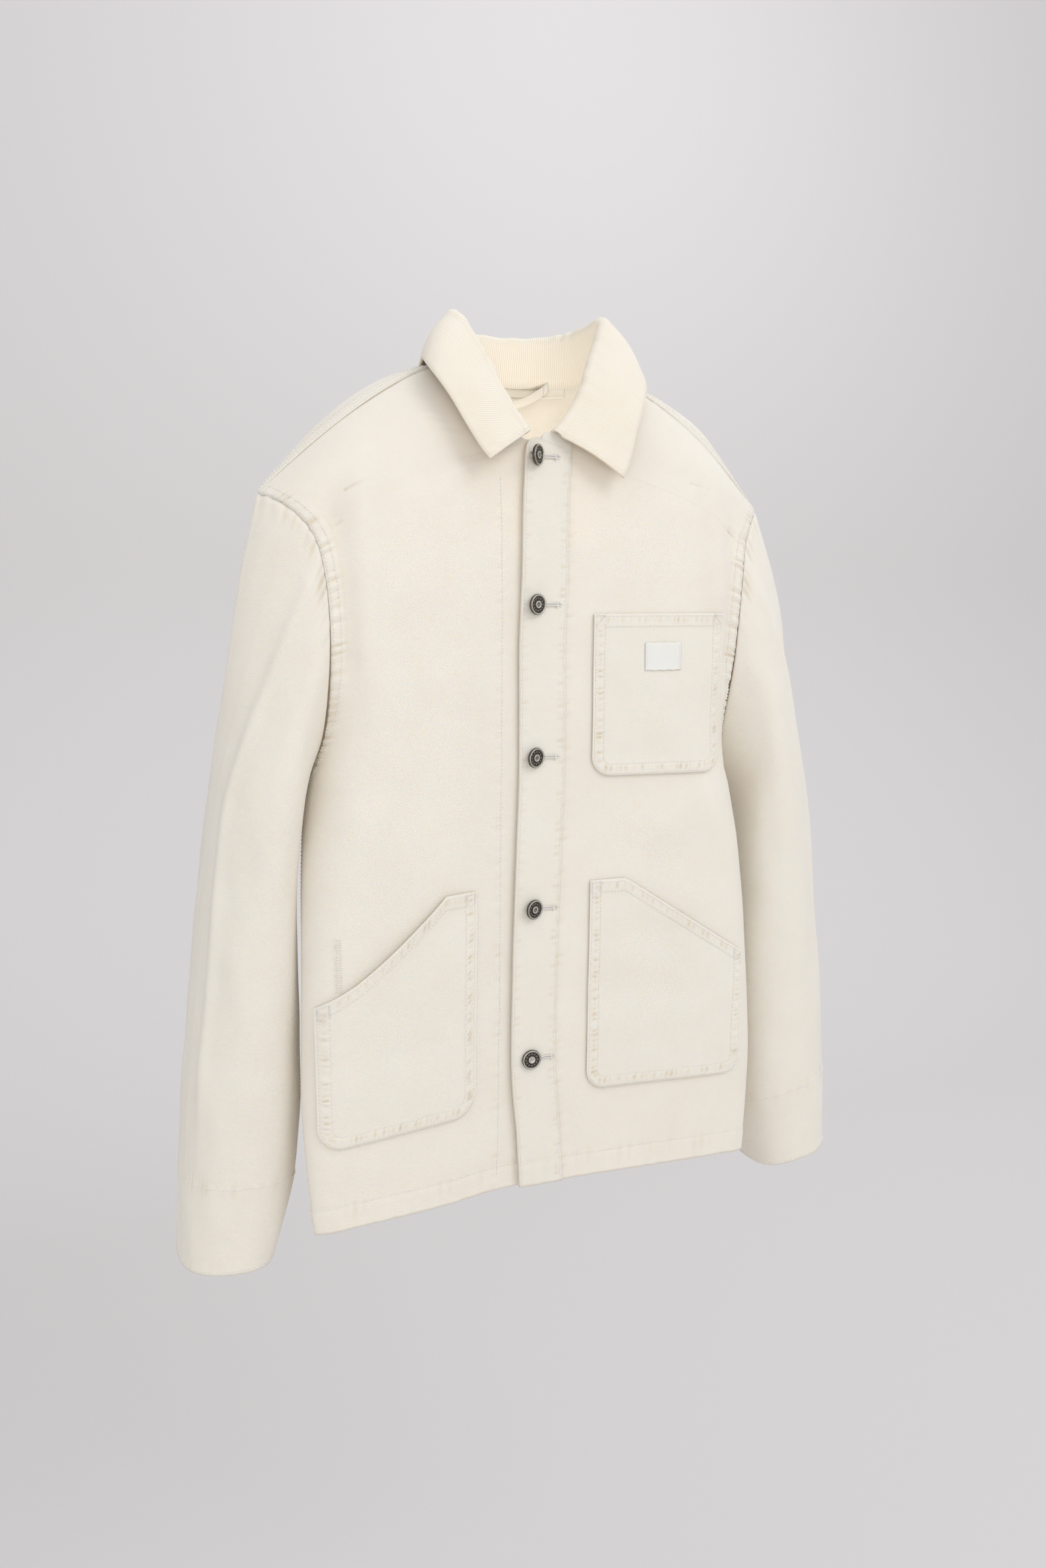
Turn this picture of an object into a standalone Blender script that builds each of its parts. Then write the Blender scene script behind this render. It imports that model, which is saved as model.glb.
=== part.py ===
"""Chore jacket, buttoned up and filled out as when it is worn, with no wearer in it.

Metres, +Z up. The wearer faces -Y, so the wearer's left is +X. The origin lies between the
shoulders, level with the points where the shoulder seams meet the collar. Every piece of cloth
is a wall worked out from a net: a grid of points that follows the piece's own cut, with its
rows between two edges that are sewn, so neighbouring pieces share the points of their seam.
"""

import math

import bpy
import numpy as np
from mathutils import Vector

# ---- Driving sizes ----

TWILL = 0.0015  # wall of the body, sleeves and pockets
CORD_CLOTH = 0.0024  # wall of the collar, two layers of ribbed cord
SEAM = 0.0004  # between two pieces at their seam, and under a piece that lies on another
ON_PANEL = 0.0008  # under a pocket, whose flat cells bridge the panel's
LEAN = 0.009  # sideways drift of the body for each metre down

CENTRE_LINE = -0.0153  # x of the button line
PLACKET_WIDTH = 0.042
UNDER_LAP = 0.016  # how far the right front runs on past the button line
UNDER_DEPTH = 0.0045  # how far it lies behind the left front

FRONT_FLAT = 0.6  # share of a front's rows that lies before it turns to the side
FLAT_COLUMNS, CORNER_COLUMNS = 4, 7  # beyond the placket's two
FRONT_COLUMNS = 2 + FLAT_COLUMNS + CORNER_COLUMNS
NECK_COLUMNS = 6  # from the centre back to the side neck point
NECK_SHARE = 0.3  # of half the back's top row
SHOULDER_BEND = 1.4
ARMHOLE_START, EDGE_TOP, NECK_START, FRONT_TOP = 5, 10, 11, 13  # stations of the FRONT table
BACK_TOP = 12
SIDE_NECK = 0.5  # station along the neck, from front end 0 to centre back 1
SLEEVE_RINGS = 19

BUTTON_RADIUS, BUTTON_HEIGHT, SHANK_RADIUS = 0.0088, 0.0028, 0.003
BUTTON_STAND = 0.0018  # height of the cap's underside over the placket, apart from its tilt
TURNED_STEPS = 18


def table(names, *rows):
    """Named columns from rows of numbers."""
    return {name: np.array(column, float) for name, column in zip(names.split(), zip(*rows))}


# A row for each station up a front, from hem to shoulder seam. Stations 0 to 5 are level and end
# on the side seam, 5 is the underarm, and 5 to 13 end on the armhole. "over" is the left front's
# free edge; from station 11 the inner end follows the neck instead.
FRONT = table(
    "z_edge  y_edge  y_flat  over     x_side  y_side  z_side  corner  turn",
    (-0.711, -0.040, -0.046, -0.0230, 0.2160, -0.034, -0.720, 0.024, 1.00),
    (-0.660, -0.042, -0.048, -0.0268, 0.2210, -0.030, -0.662, 0.028, 1.00),
    (-0.600, -0.043, -0.050, -0.0325, 0.2225, -0.026, -0.600, 0.032, 1.00),
    (-0.500, -0.044, -0.051, -0.0325, 0.2170, -0.019, -0.500, 0.036, 1.00),
    (-0.410, -0.044, -0.052, -0.0300, 0.2090, -0.008, -0.410, 0.042, 1.00),
    (-0.345, -0.044, -0.052, -0.0280, 0.1990, 0.0120, -0.345, 0.056, 1.00),
    (-0.285, -0.044, -0.052, -0.0280, 0.1920, -0.018, -0.300, 0.062, 0.80),
    (-0.225, -0.044, -0.052, -0.0285, 0.1905, -0.036, -0.250, 0.066, 0.50),
    (-0.165, -0.044, -0.050, -0.0265, 0.1915, -0.042, -0.205, 0.066, 0.35),
    (-0.110, -0.042, -0.047, -0.0252, 0.1950, -0.041, -0.168, 0.066, 0.25),
    (-0.060, -0.038, -0.042, -0.0215, 0.2010, -0.035, -0.140, 0.066, 0.20),
    (-0.056, -0.038, -0.036, -0.0215, 0.2130, -0.024, -0.121, 0.064, 0.15),
    (-0.028, -0.026, -0.022, -0.0215, 0.2270, -0.008, -0.109, 0.062, 0.10),
    (0.0050, 0.0100, 0.0100, -0.0215, 0.2360, 0.0080, -0.104, 0.060, 0.05),
)
# How much closer the wearer's right side hangs, at the level stations.
TUCK = (0.0060, 0.0060, 0.0050, 0.0030, -0.0010, -0.0020, 0.0, 0.0)

# The same for the back, from its centre line to the side seam and the back of the armhole. Its
# first six stations end on the fronts' side seams.
BACK = table(
    "z_mid   y_mid   x_side  y_side  z_side  round  drop",
    (-0.718, 0.112, 0.2160, -0.034, -0.720, 1.90, 1.6),
    (-0.662, 0.110, 0.2210, -0.030, -0.662, 1.90, 1.6),
    (-0.600, 0.108, 0.2225, -0.026, -0.600, 1.88, 1.6),
    (-0.500, 0.107, 0.2170, -0.019, -0.500, 1.88, 1.6),
    (-0.410, 0.110, 0.2090, -0.008, -0.410, 1.90, 1.6),
    (-0.345, 0.115, 0.1990, 0.0120, -0.345, 1.95, 1.6),
    (-0.285, 0.119, 0.1870, 0.0450, -0.305, 2.05, 1.8),
    (-0.215, 0.122, 0.1840, 0.0700, -0.255, 2.20, 1.9),
    (-0.145, 0.121, 0.1900, 0.0810, -0.205, 2.20, 1.9),
    (-0.082, 0.116, 0.2000, 0.0770, -0.160, 2.10, 1.8),
    (-0.036, 0.107, 0.2150, 0.0580, -0.127, 2.00, 1.7),
    (-0.010, 0.095, 0.2280, 0.0340, -0.110, 2.00, 1.6),
    (0.0040, 0.080, 0.2360, 0.0080, -0.104, 2.00, 1.5),
)

# A row for each station round half the neck, from the collar's front end to the centre back:
# the seam, the roll line that the collar folds over, and its outer edge. "shift" carries the
# seam and the roll line sideways where the front ends lie off centre.
NECK = table(
    "at  seam_x seam_y seam_z  roll_x roll_y roll_z  edge_x edge_y edge_z  shift edge_shift lift",
    (0.00, 0.012, -0.038, -0.056, 0.0125, -0.0445, -0.0505, 0.0605, -0.060, -0.0815, -0.01, -0.003, 0.0055),
    (0.12, 0.031, -0.034, -0.045, 0.0265, -0.039, -0.033, 0.068, -0.056, -0.070, -0.0075, -0.0025, 0.004),
    (0.25, 0.051, -0.026, -0.028, 0.0395, -0.031, -0.009, 0.078, -0.052, -0.048, -0.0045, -0.0045, 0.002),
    (0.37, 0.068, -0.010, -0.009, 0.052, -0.017, 0.021, 0.0885, -0.044, -0.025, -0.002, -0.004, 0.0),
    (0.50, 0.079, 0.010, 0.005, 0.068, -0.002, 0.0525, 0.100, -0.020, 0.001, 0.0, -0.0015, 0.0),
    (0.62, 0.078, 0.035, 0.006, 0.064, 0.022, 0.049, 0.0905, 0.017, 0.012, 0.0, 0.0, 0.0),
    (0.74, 0.064, 0.059, 0.005, 0.056, 0.047, 0.046, 0.079, 0.058, 0.006, 0.0, 0.0, 0.0),
    (0.87, 0.036, 0.075, 0.004, 0.033, 0.066, 0.0435, 0.050, 0.086, -0.001, 0.0, 0.0, 0.0),
    (1.00, 0.000, 0.080, 0.004, 0.000, 0.072, 0.0425, 0.000, 0.099, -0.002, 0.0, 0.0, 0.0),
)
ROLL_RADIUS = 0.0045
TAPER = 0.2  # how much the back draws in behind the side seam
# Height that the shoulders' tops gain behind their seams, from the centre back outwards.
CREST = table(
    "at    right   left",
    (0.00, 0.0000, 0.0000),
    (0.15, 0.0012, 0.0025),
    (0.30, 0.0105, 0.0135),
    (0.45, 0.0180, 0.0225),
    (0.60, 0.0190, 0.0275),
    (0.80, 0.0140, 0.0300),
    (1.00, 0.0045, 0.0080),
)
NECK_SPREAD = 0.016  # how far the back runs outwards beside the neck
EASE_WIDTH = 0.18  # share of half the back over which its top row's corner is eased
LEAF_BOW = 0.004

# A row for each ring down a sleeve: its outer and inner ends, and its depth front to back.
SLEEVE = table(
    "at    x_out   z_out   x_in    z_in    y_mid  half_depth  square",
    (0.00, 0.2360, -0.104, 0.2020, -0.345, 0.020, 0.0630, 2.1),
    (0.06, 0.2455, -0.145, 0.2080, -0.360, 0.020, 0.0640, 2.2),
    (0.14, 0.2545, -0.197, 0.2118, -0.385, 0.021, 0.0630, 2.3),
    (0.22, 0.2625, -0.247, 0.2134, -0.415, 0.022, 0.0620, 2.4),
    (0.33, 0.2745, -0.320, 0.2146, -0.455, 0.024, 0.0600, 2.5),
    (0.46, 0.2870, -0.410, 0.2125, -0.510, 0.025, 0.0570, 2.5),
    (0.60, 0.2985, -0.505, 0.2112, -0.565, 0.026, 0.0555, 2.5),
    (0.74, 0.3080, -0.600, 0.2118, -0.635, 0.026, 0.0530, 2.5),
    (0.86, 0.3125, -0.675, 0.2175, -0.690, 0.025, 0.0490, 2.5),
    (1.00, 0.3145, -0.750, 0.2365, -0.756, 0.024, 0.0440, 2.6),
)
CAP_EASE = 0.42  # share of a sleeve over which its rings leave the armhole's shape
CAP_SLIDE = 0.45  # radians by which ring points slide outwards below the cap

# How each sleeve hangs apart from the other: outwards, back, and its outer side raised.
SWING = table(
    "at    right_x  right_y  right_tilt  left_x   left_y   left_tilt",
    (0.00, 0.0000, 0.000, 0.000, 0.0000, 0.0000, 0.000),
    (0.14, 0.0020, 0.001, 0.000, 0.0120, -0.003, 0.000),
    (0.30, 0.0005, 0.003, 0.000, 0.0070, -0.006, 0.001),
    (0.50, 0.0000, 0.005, 0.000, 0.0080, -0.008, 0.003),
    (0.75, 0.0012, 0.007, 0.000, 0.0110, -0.010, 0.008),
    (1.00, 0.0040, 0.008, 0.000, 0.0145, -0.010, 0.014),
)

# Folds of the cloth: straight ridges (height over 0) and troughs. Ends are x and z on a panel,
# and degrees round (0 outer, 90 front) and share of the length on a sleeve.
FRONT_FOLDS = {
    "right": (
        (0.188, -0.110, 0.178, -0.250, 0.011, -0.0045),
        (0.163, -0.070, 0.164, -0.270, 0.013, 0.0040),
        (0.100, -0.440, 0.195, -0.330, 0.026, 0.0030),
    ),
    "left": (
        (0.158, -0.080, 0.166, -0.200, 0.013, 0.0040),
        (0.186, -0.120, 0.180, -0.260, 0.011, -0.0040),
        (0.090, -0.400, 0.195, -0.350, 0.024, 0.0025),
    ),
}
BACK_FOLDS = (
    (0.165, -0.180, 0.185, -0.330, 0.014, 0.0040),
    (-0.165, -0.180, -0.185, -0.330, 0.014, 0.0040),
    (0.120, -0.660, 0.150, -0.420, 0.020, 0.0030),
    (-0.060, -0.690, -0.100, -0.480, 0.022, 0.0025),
)
SLEEVE_FOLDS = (
    (52, 0.02, 58, 0.75, 9, 0.0030),
    (95, 0.05, 120, 0.40, 12, 0.0030),
    (140, 0.30, 70, 0.52, 11, -0.0022),
    (300, 0.28, 240, 0.50, 12, -0.0025),
    (20, 0.55, 100, 0.66, 10, -0.0015),
)

# Patch pockets, by x and z on their front: inner and outer side, the mouth's level stretch and
# low end, the bottom at both sides, the corner radius, and how far the mouth gapes.
POCKETS = {
    "pocket_right": dict(
        side="right", inner=0.0680, outer=0.2075, mouth_flat=0.030, mouth_high=-0.434,
        mouth_low=-0.520, bottom_inner=-0.633, bottom_outer=-0.642, radius=0.020,
        gape=0.0045, hollow=0.006,
    ),
    "pocket_left": dict(
        side="left", inner=0.0400, outer=0.2000, mouth_flat=0.034, mouth_high=-0.434,
        mouth_low=-0.516, bottom_inner=-0.627, bottom_outer=-0.633, radius=0.018,
        gape=0.0015, hollow=0.0,
    ),
    "chest_pocket": dict(
        side="left", inner=0.0395, outer=0.1685, mouth_flat=0.129, mouth_high=-0.2005,
        mouth_low=-0.2005, bottom_inner=-0.341, bottom_outer=-0.343, radius=0.018,
        gape=0.0, hollow=0.0,
    ),
}
LABEL = dict(x=(0.0880, 0.1225), z=(-0.2500, -0.2260))
LABEL_WALL = 0.0010

# A row for each button, top to bottom: its height, and how far its face turns to the wearer's
# left and looks down, in degrees.
BUTTONS = table(
    "z       turn  tip",
    (-0.0705, 38, 2),
    (-0.1925, 20, 2),
    (-0.3220, 19, 3),
    (-0.4545, 18, 2),
    (-0.5905, -3, 0),
)

LOOP = dict(ends=(-0.045, 0.049), rise=0.004, sag=0.019, width=0.009, inset=0.0040)


# ---- Curves and walls ----


def curve(knots, values, at):
    """A smooth curve through values at rising knots: cubic pieces that share their slopes."""
    knots, values, at = (np.asarray(a, float) for a in (knots, values, at))
    slope = np.gradient(values, knots)
    i = np.clip(np.searchsorted(knots, at, side="right") - 1, 0, len(knots) - 2)
    step = knots[i + 1] - knots[i]
    t = (at - knots[i]) / step
    return (
        values[i] * (2 * t**3 - 3 * t**2 + 1)
        + values[i + 1] * (3 * t**2 - 2 * t**3)
        + step * slope[i] * (t**3 - 2 * t**2 + t)
        + step * slope[i + 1] * (t**3 - t**2)
    )


def stations(rows):
    return np.arange(len(next(iter(rows.values()))))


def read(rows, at, *names):
    """Columns of a table at stations that may lie between its rows."""
    knots = rows["at"] if "at" in rows else stations(rows)
    found = [curve(knots, rows[name], at) for name in names]
    return found if len(found) > 1 else found[0]


def read_side(rows, at):
    """The outer end of a panel's rows: on the side seam up to the underarm, then on the
    armhole. The two runs are read apart, so the fronts and the back share the side seam."""
    knots = stations(rows)
    low, high = knots[: ARMHOLE_START + 1], knots[ARMHOLE_START:]
    found = []
    for name in ("x_side", "y_side", "z_side"):
        seam = curve(low, rows[name][low], np.minimum(at, ARMHOLE_START))
        armhole = curve(high, rows[name][high], np.maximum(at, ARMHOLE_START))
        found.append(np.where(at <= ARMHOLE_START, seam, armhole))
    return found


def unit(vectors):
    return vectors / np.maximum(np.linalg.norm(vectors, axis=-1, keepdims=True), 1e-12)


def leaned(points):
    """The body's drift to one side, which grows downwards."""
    return points + points[..., 2:3] * np.array([LEAN, 0, 0])


def slopes(net, closed=False):
    """Steps of a net along its rows and its columns, for normals."""
    if closed:
        along = np.roll(net, -1, 0) - np.roll(net, 1, 0)
    else:
        along = np.gradient(net, axis=0)
    return along, np.gradient(net, axis=1)


def ridge(across, up, folds):
    """Height of all folds at points given by two coordinates. A fold is a soft bump across a
    straight line from (a0, b0) to (a1, b1), and fades towards its ends."""
    height = np.zeros(np.broadcast(across, up).shape)
    for a0, b0, a1, b1, width, rise, scale in folds:
        line = np.array([a1 - a0, (b1 - b0) * scale])
        length = np.hypot(*line)
        line /= length
        da, db = across - a0, (up - b0) * scale
        along = (da * line[0] + db * line[1]) / length
        off = da * line[1] - db * line[0]
        ends = np.clip(np.minimum(along, 1 - along) / 0.3 + 0.5, 0, 1)
        height = height + rise * np.exp(-((off / width) ** 2)) * ends**2 * (3 - 2 * ends)
    return height


def wall_faces(outer, inner, closed):
    """Faces of a wall whose outer net comes first and whose inner net follows. A cell starts at
    an end of its shorter diagonal. A rim's diagonal runs from outside at its lower end to inside
    at its higher end, so that neighbours which share a seam are cut alike."""
    nu, nv = outer.shape[:2]
    points = np.concatenate([outer.reshape(-1, 3), inner.reshape(-1, 3)])
    behind = nu * nv
    faces = []

    def from_short_diagonal(cell):
        first, second = (np.linalg.norm(points[cell[n]] - points[cell[n + 2]]) for n in (0, 1))
        return cell[1:] + cell[:1] if second < first else cell

    def add_rim(a, b, flip):
        rim = [a, behind + a, behind + b, b]
        if (points[b] - points[a]) @ (0.1, 0.3, 1.0) < 0:
            rim = rim[1:] + rim[:1]
        faces.append(rim[:1] + rim[:0:-1] if flip else rim)

    for i in range(nu if closed else nu - 1):
        k = (i + 1) % nu
        for j in range(nv - 1):
            cell = [i * nv + j, k * nv + j, k * nv + j + 1, i * nv + j + 1]
            a, b, c, d = from_short_diagonal(cell)
            faces.append((a, b, c, d))
            faces.append((behind + a, behind + d, behind + c, behind + b))
        add_rim(i * nv, k * nv, False)
        add_rim(i * nv + nv - 1, k * nv + nv - 1, True)
    for i, flip in () if closed else ((0, True), (nu - 1, False)):
        for j in range(nv - 1):
            add_rim(i * nv + j, i * nv + j + 1, flip)
    return faces


def add_object(name, points, faces, material):
    mesh = bpy.data.meshes.new(name)
    mesh.from_pydata([tuple(p) for p in points], [], faces)
    mesh.update()
    mesh.materials.append(material)
    mesh.shade_smooth()
    mesh.set_sharp_from_angle(angle=math.radians(40))
    made = bpy.data.objects.new(name, mesh)
    jacket.objects.link(made)
    return made


def add_wall(name, outer, inner, material, closed=False):
    """A solid between two nets of the same size."""
    points = np.concatenate([outer.reshape(-1, 3), inner.reshape(-1, 3)])
    return add_object(name, points, wall_faces(outer, inner, closed), material)


# ---- Nets of the body ----


def neck_point(at, part):
    """Points round the wearer's left half of the neck, at stations 0 to 1."""
    shift_name = "edge_shift" if part == "edge" else "shift"
    x, y, z, shift = read(NECK, at, part + "_x", part + "_y", part + "_z", shift_name)
    return np.stack([x, y, z], -1), shift


def shoulder_point(along):
    """Points on the shoulder seam, from the side neck point 0 to the sleeve 1."""
    start, _ = neck_point(SIDE_NECK, "seam")
    end = np.array([FRONT[name][-1] for name in ("x_side", "y_side", "z_side")])
    points = start + (end - start) * along[..., None]
    points[..., 2] = start[2] + (end[2] - start[2]) * along**SHOULDER_BEND
    points[..., 1] -= 0.008 * np.sin(math.pi * along)
    return points


def front_edge(side, station):
    """The inner end of a front's rows: its free edge, its top edge, then the neck."""
    z, y, over = read(FRONT, np.minimum(station, EDGE_TOP), "z_edge", "y_edge", "over")
    if side == "left":
        x = over
    else:
        x = np.full_like(z, -(CENTRE_LINE + UNDER_LAP))
    edge = np.stack([x, y, z], -1)
    round_neck = np.clip((station - NECK_START) / (FRONT_TOP - NECK_START), 0, 1) * SIDE_NECK
    neck, shift = neck_point(round_neck, "seam")
    neck[..., 0] += shift * (1 if side == "left" else -1)
    top = np.clip(station - EDGE_TOP, 0, 1)[..., None]
    return np.where(station[..., None] <= NECK_START, edge + (neck - edge) * top, neck)


def tuck(station):
    return curve(range(len(TUCK)), TUCK, np.minimum(station, len(TUCK) - 1))


def front_plain(side, u, station):
    """A front without folds, on the wearer's left. Each row runs flat from the inner end, then
    round an elliptical corner to its outer end: u is 0 to 1 along it."""
    u, station = np.broadcast_arrays(np.asarray(u, float), np.asarray(station, float))
    y_flat, corner, turn = read(FRONT, station, "y_flat", "corner", "turn")
    x_side, y_side, z_side = read_side(FRONT, station)
    if side == "right":
        x_side = x_side - tuck(station)
    edge = front_edge(side, station)
    x_edge, y_edge, z_edge = edge[..., 0], edge[..., 1], edge[..., 2]
    x_corner = x_side - corner
    flat = np.clip(u / FRONT_FLAT, 0, 1)
    bend = np.clip((u - FRONT_FLAT) / (1 - FRONT_FLAT), 0, 1) * math.pi / 2 * turn
    across = np.sin(bend) / np.sin(math.pi / 2 * turn)
    depth = (1 - np.cos(bend)) / (1 - np.cos(math.pi / 2 * turn))
    x = np.where(u < FRONT_FLAT, x_edge + (x_corner - x_edge) * flat, x_corner + corner * across)
    hollow = y_edge + (y_flat - y_edge) * flat**2 * (3 - 2 * flat)
    y = hollow + (y_side - y_flat) * depth
    z = z_edge + (z_side - z_edge) * u**1.25
    if side == "right":
        below = np.clip(NECK_START + 0.5 - station, 0, 1)
        lap = np.clip((0.095 - (x - x_edge)) / 0.05, 0, 1)
        y = y + UNDER_DEPTH * lap**2 * (3 - 2 * lap) * below
    points = np.stack([x, y, z], -1)
    near_top = np.clip((station - EDGE_TOP) / (FRONT_TOP - EDGE_TOP), 0, 1)[..., None] ** 2
    return points + (shoulder_point(u) - front_top_row(u, flat, across, depth)) * near_top


def front_top_row(u, flat, across, depth):
    """What the table alone gives for a front's last row, before it is drawn to the seam."""
    side_neck, _ = neck_point(SIDE_NECK, "seam")
    x_end, y_end, z_end, corner = (FRONT[name][-1] for name in ("x_side", "y_side", "z_side", "corner"))
    x_corner = x_end - corner
    flat_x = side_neck[0] + (x_corner - side_neck[0]) * flat
    x = np.where(u < FRONT_FLAT, flat_x, x_corner + corner * across)
    y = side_neck[1] + (y_end - side_neck[1]) * depth
    z = side_neck[2] + (z_end - side_neck[2]) * u**1.25
    return np.stack([x, y, z], -1)


def front_net(side, u, station):
    """A front with its folds raised along its normal, in its place on the jacket."""
    plain = front_plain(side, u, station)
    step = 1e-3
    du = front_plain(side, np.minimum(u + step, 1), station) - front_plain(
        side, np.maximum(u - step, 0), station
    )
    dv = front_plain(side, u, np.minimum(station + step, FRONT_TOP)) - front_plain(
        side, u, np.maximum(station - step, 0)
    )
    normal = unit(np.cross(du, dv))
    folds = [fold + (1.0,) for fold in FRONT_FOLDS[side]]
    fade = np.clip((1 - u) / 0.08, 0, 1) * np.clip(u / 0.2, 0, 1)
    fade = fade * np.clip((FRONT_TOP - station) / 2, 0, 1)
    rise = ridge(plain[..., 0], plain[..., 2], folds) * fade
    points = plain + normal * rise[..., None]
    if side == "right":
        points = points * [-1, 1, 1]
    return leaned(points)


def on_front(side, x, z):
    """Points of a front, and its outward normals, at given x (towards its side) and z."""
    flip = np.array([-1.0 if side == "right" else 1.0, 1, 1])

    def spot(u, station):
        points = front_net(side, u, station)
        return (points - points[..., 2:3] * np.array([LEAN, 0, 0])) * flip

    u = np.full(x.shape, 0.5)
    station = np.interp(z, FRONT["z_edge"][: EDGE_TOP + 1], stations(FRONT)[: EDGE_TOP + 1])
    small = 1e-3
    for _ in range(12):
        here = spot(u, station)
        du = (spot(u + small, station) - here) / small
        dv = (spot(u, station + small) - here) / small
        det = du[..., 0] * dv[..., 2] - du[..., 2] * dv[..., 0]
        ex, ez = x - here[..., 0], z - here[..., 2]
        u = np.clip(u + np.clip((ex * dv[..., 2] - ez * dv[..., 0]) / det, -0.1, 0.1), 0.002, 0.99)
        station = station + np.clip((ez * du[..., 0] - ex * du[..., 2]) / det, -1, 1)
    points = front_net(side, u, station)
    du = front_net(side, u + small, station) - points
    dv = front_net(side, u, station + small) - points
    normal = unit(np.cross(du, dv)) * (-1 if side == "right" else 1)
    return points, normal


def back_section(reach, z_mid, y_mid, x_side, y_side, z_side, power, drop):
    """A row of the back on one side: a quarter of a rounded oval that draws in at its end."""
    angle = reach * math.pi / 2
    x = x_side * np.sin(angle) ** (2 / power) * (1 - TAPER * np.cos(angle))
    y = y_side + (y_mid - y_side) * np.cos(angle).clip(0) ** (2 / power)
    return np.stack([x, y, z_mid + (z_side - z_mid) * reach**drop], -1)


def top_offset(at):
    """From the table's last section to the seams it is sewn to: the neck, then the shoulder.
    Negative places mirror positive ones."""
    reach = np.minimum(np.abs(at), 1)
    names = ("z_mid", "y_mid", "x_side", "y_side", "z_side", "round", "drop")
    last = back_section(reach, *(BACK[name][-1] for name in names))
    neck, _ = neck_point(1 - (1 - SIDE_NECK) * np.clip(reach / NECK_SHARE, 0, 1), "seam")
    along = np.clip((reach - NECK_SHARE) / (1 - NECK_SHARE), 0, 1)
    top = np.where((reach <= NECK_SHARE + 1e-9)[..., None], neck, shoulder_point(along))
    offset = top - last
    offset[..., 0] *= np.where(at < 0, -1, 1)
    return offset


def back_net(u, station):
    """The back: u is -1 to 1 from the right side to the left. The corner between the neck and
    a shoulder seam is eased over the rows below them."""
    u, station = np.broadcast_arrays(np.asarray(u, float), np.asarray(station, float))
    reach = np.abs(u)
    z_mid, y_mid, power, drop = read(BACK, station, "z_mid", "y_mid", "round", "drop")
    x_side, y_side, z_side = read_side(BACK, station)
    x_side = x_side - np.where(u < 0, tuck(station), 0)
    points = back_section(reach, z_mid, y_mid, x_side, y_side, z_side, power, drop)
    below_top = BACK_TOP - station
    reach_blur = EASE_WIDTH * np.clip(below_top / 1.5, 0, 1) * np.clip((1 - reach) / 0.3, 0, 1)
    offset = sum(
        share * top_offset(reach + step * reach_blur)
        for step, share in ((-1, 0.12), (-0.5, 0.23), (0, 0.3), (0.5, 0.23), (1, 0.12))
    )
    points = points + offset * np.clip(1 - below_top / 4, 0, 1)[..., None] ** 2
    crest = np.sin(math.pi * np.clip((station - 9) / 3, 0, 1) ** 2.2)
    right, left = read(CREST, reach, "right", "left")
    points[..., 2] += crest * np.where(u < 0, right, left)
    spread = np.sin(math.pi * np.clip(below_top / 4, 0, 1) ** 0.6)
    points[..., 0] += NECK_SPREAD * spread * np.exp(-(((reach - 0.27) / 0.1) ** 2))
    points[..., 0] *= np.sign(u)
    folds = [fold + (1.0,) for fold in BACK_FOLDS]
    outward = unit(points * [1, 1, 0] - [0, -0.03, 0])
    fade = np.clip((1 - reach) / 0.1, 0, 1) * np.clip(below_top / 2, 0, 1)
    rise = ridge(points[..., 0], points[..., 2], folds) * fade
    return leaned(points + outward * rise[..., None])


FRONT_STATIONS = np.concatenate(
    [
        np.linspace(0, ARMHOLE_START, 11),
        [5.7, 6.4, 7.1, 7.8, 8.5, 9.25, EDGE_TOP],
        np.linspace(NECK_START, FRONT_TOP, 7),
    ]
)
BACK_STATIONS = np.concatenate(
    [np.linspace(0, ARMHOLE_START, 11), [5.8, 6.6, 7.4, 8.2, 9, 9.8, 10.5, 11.1, 11.6, BACK_TOP]]
)
FRONT_ARMHOLE = np.flatnonzero(FRONT_STATIONS >= ARMHOLE_START)
BACK_ARMHOLE = np.flatnonzero(BACK_STATIONS >= ARMHOLE_START)
FRONT_NECK = np.flatnonzero(FRONT_STATIONS >= NECK_START)


def front_columns(station):
    """Shares along a front's rows. The third column lies on the placket's inner line."""
    x_side, corner = read(FRONT, station, "x_side", "corner")
    flat = x_side - corner - front_edge("left", station)[..., 0]
    band = PLACKET_WIDTH / flat * FRONT_FLAT
    middle = np.linspace(0, 1, FLAT_COLUMNS + 1)[1:, None]
    round_corner = FRONT_FLAT + (1 - FRONT_FLAT) * np.linspace(0, 1, CORNER_COLUMNS + 1)[1:, None]
    return np.concatenate(
        [
            band * np.array([[0.0], [0.5], [1.0]]),
            band + (FRONT_FLAT - band) * middle,
            round_corner + 0 * band,
        ]
    )


def back_columns():
    """Shares along the back's rows, which meet the fronts' columns on the shoulder seams."""
    neck = np.linspace(0, NECK_SHARE, NECK_COLUMNS + 1)
    shoulder = NECK_SHARE + (1 - NECK_SHARE) * front_columns(np.array([13.0]))[1:, 0]
    half = np.concatenate([neck, shoulder])
    return np.concatenate([-half[:0:-1], half])


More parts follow.
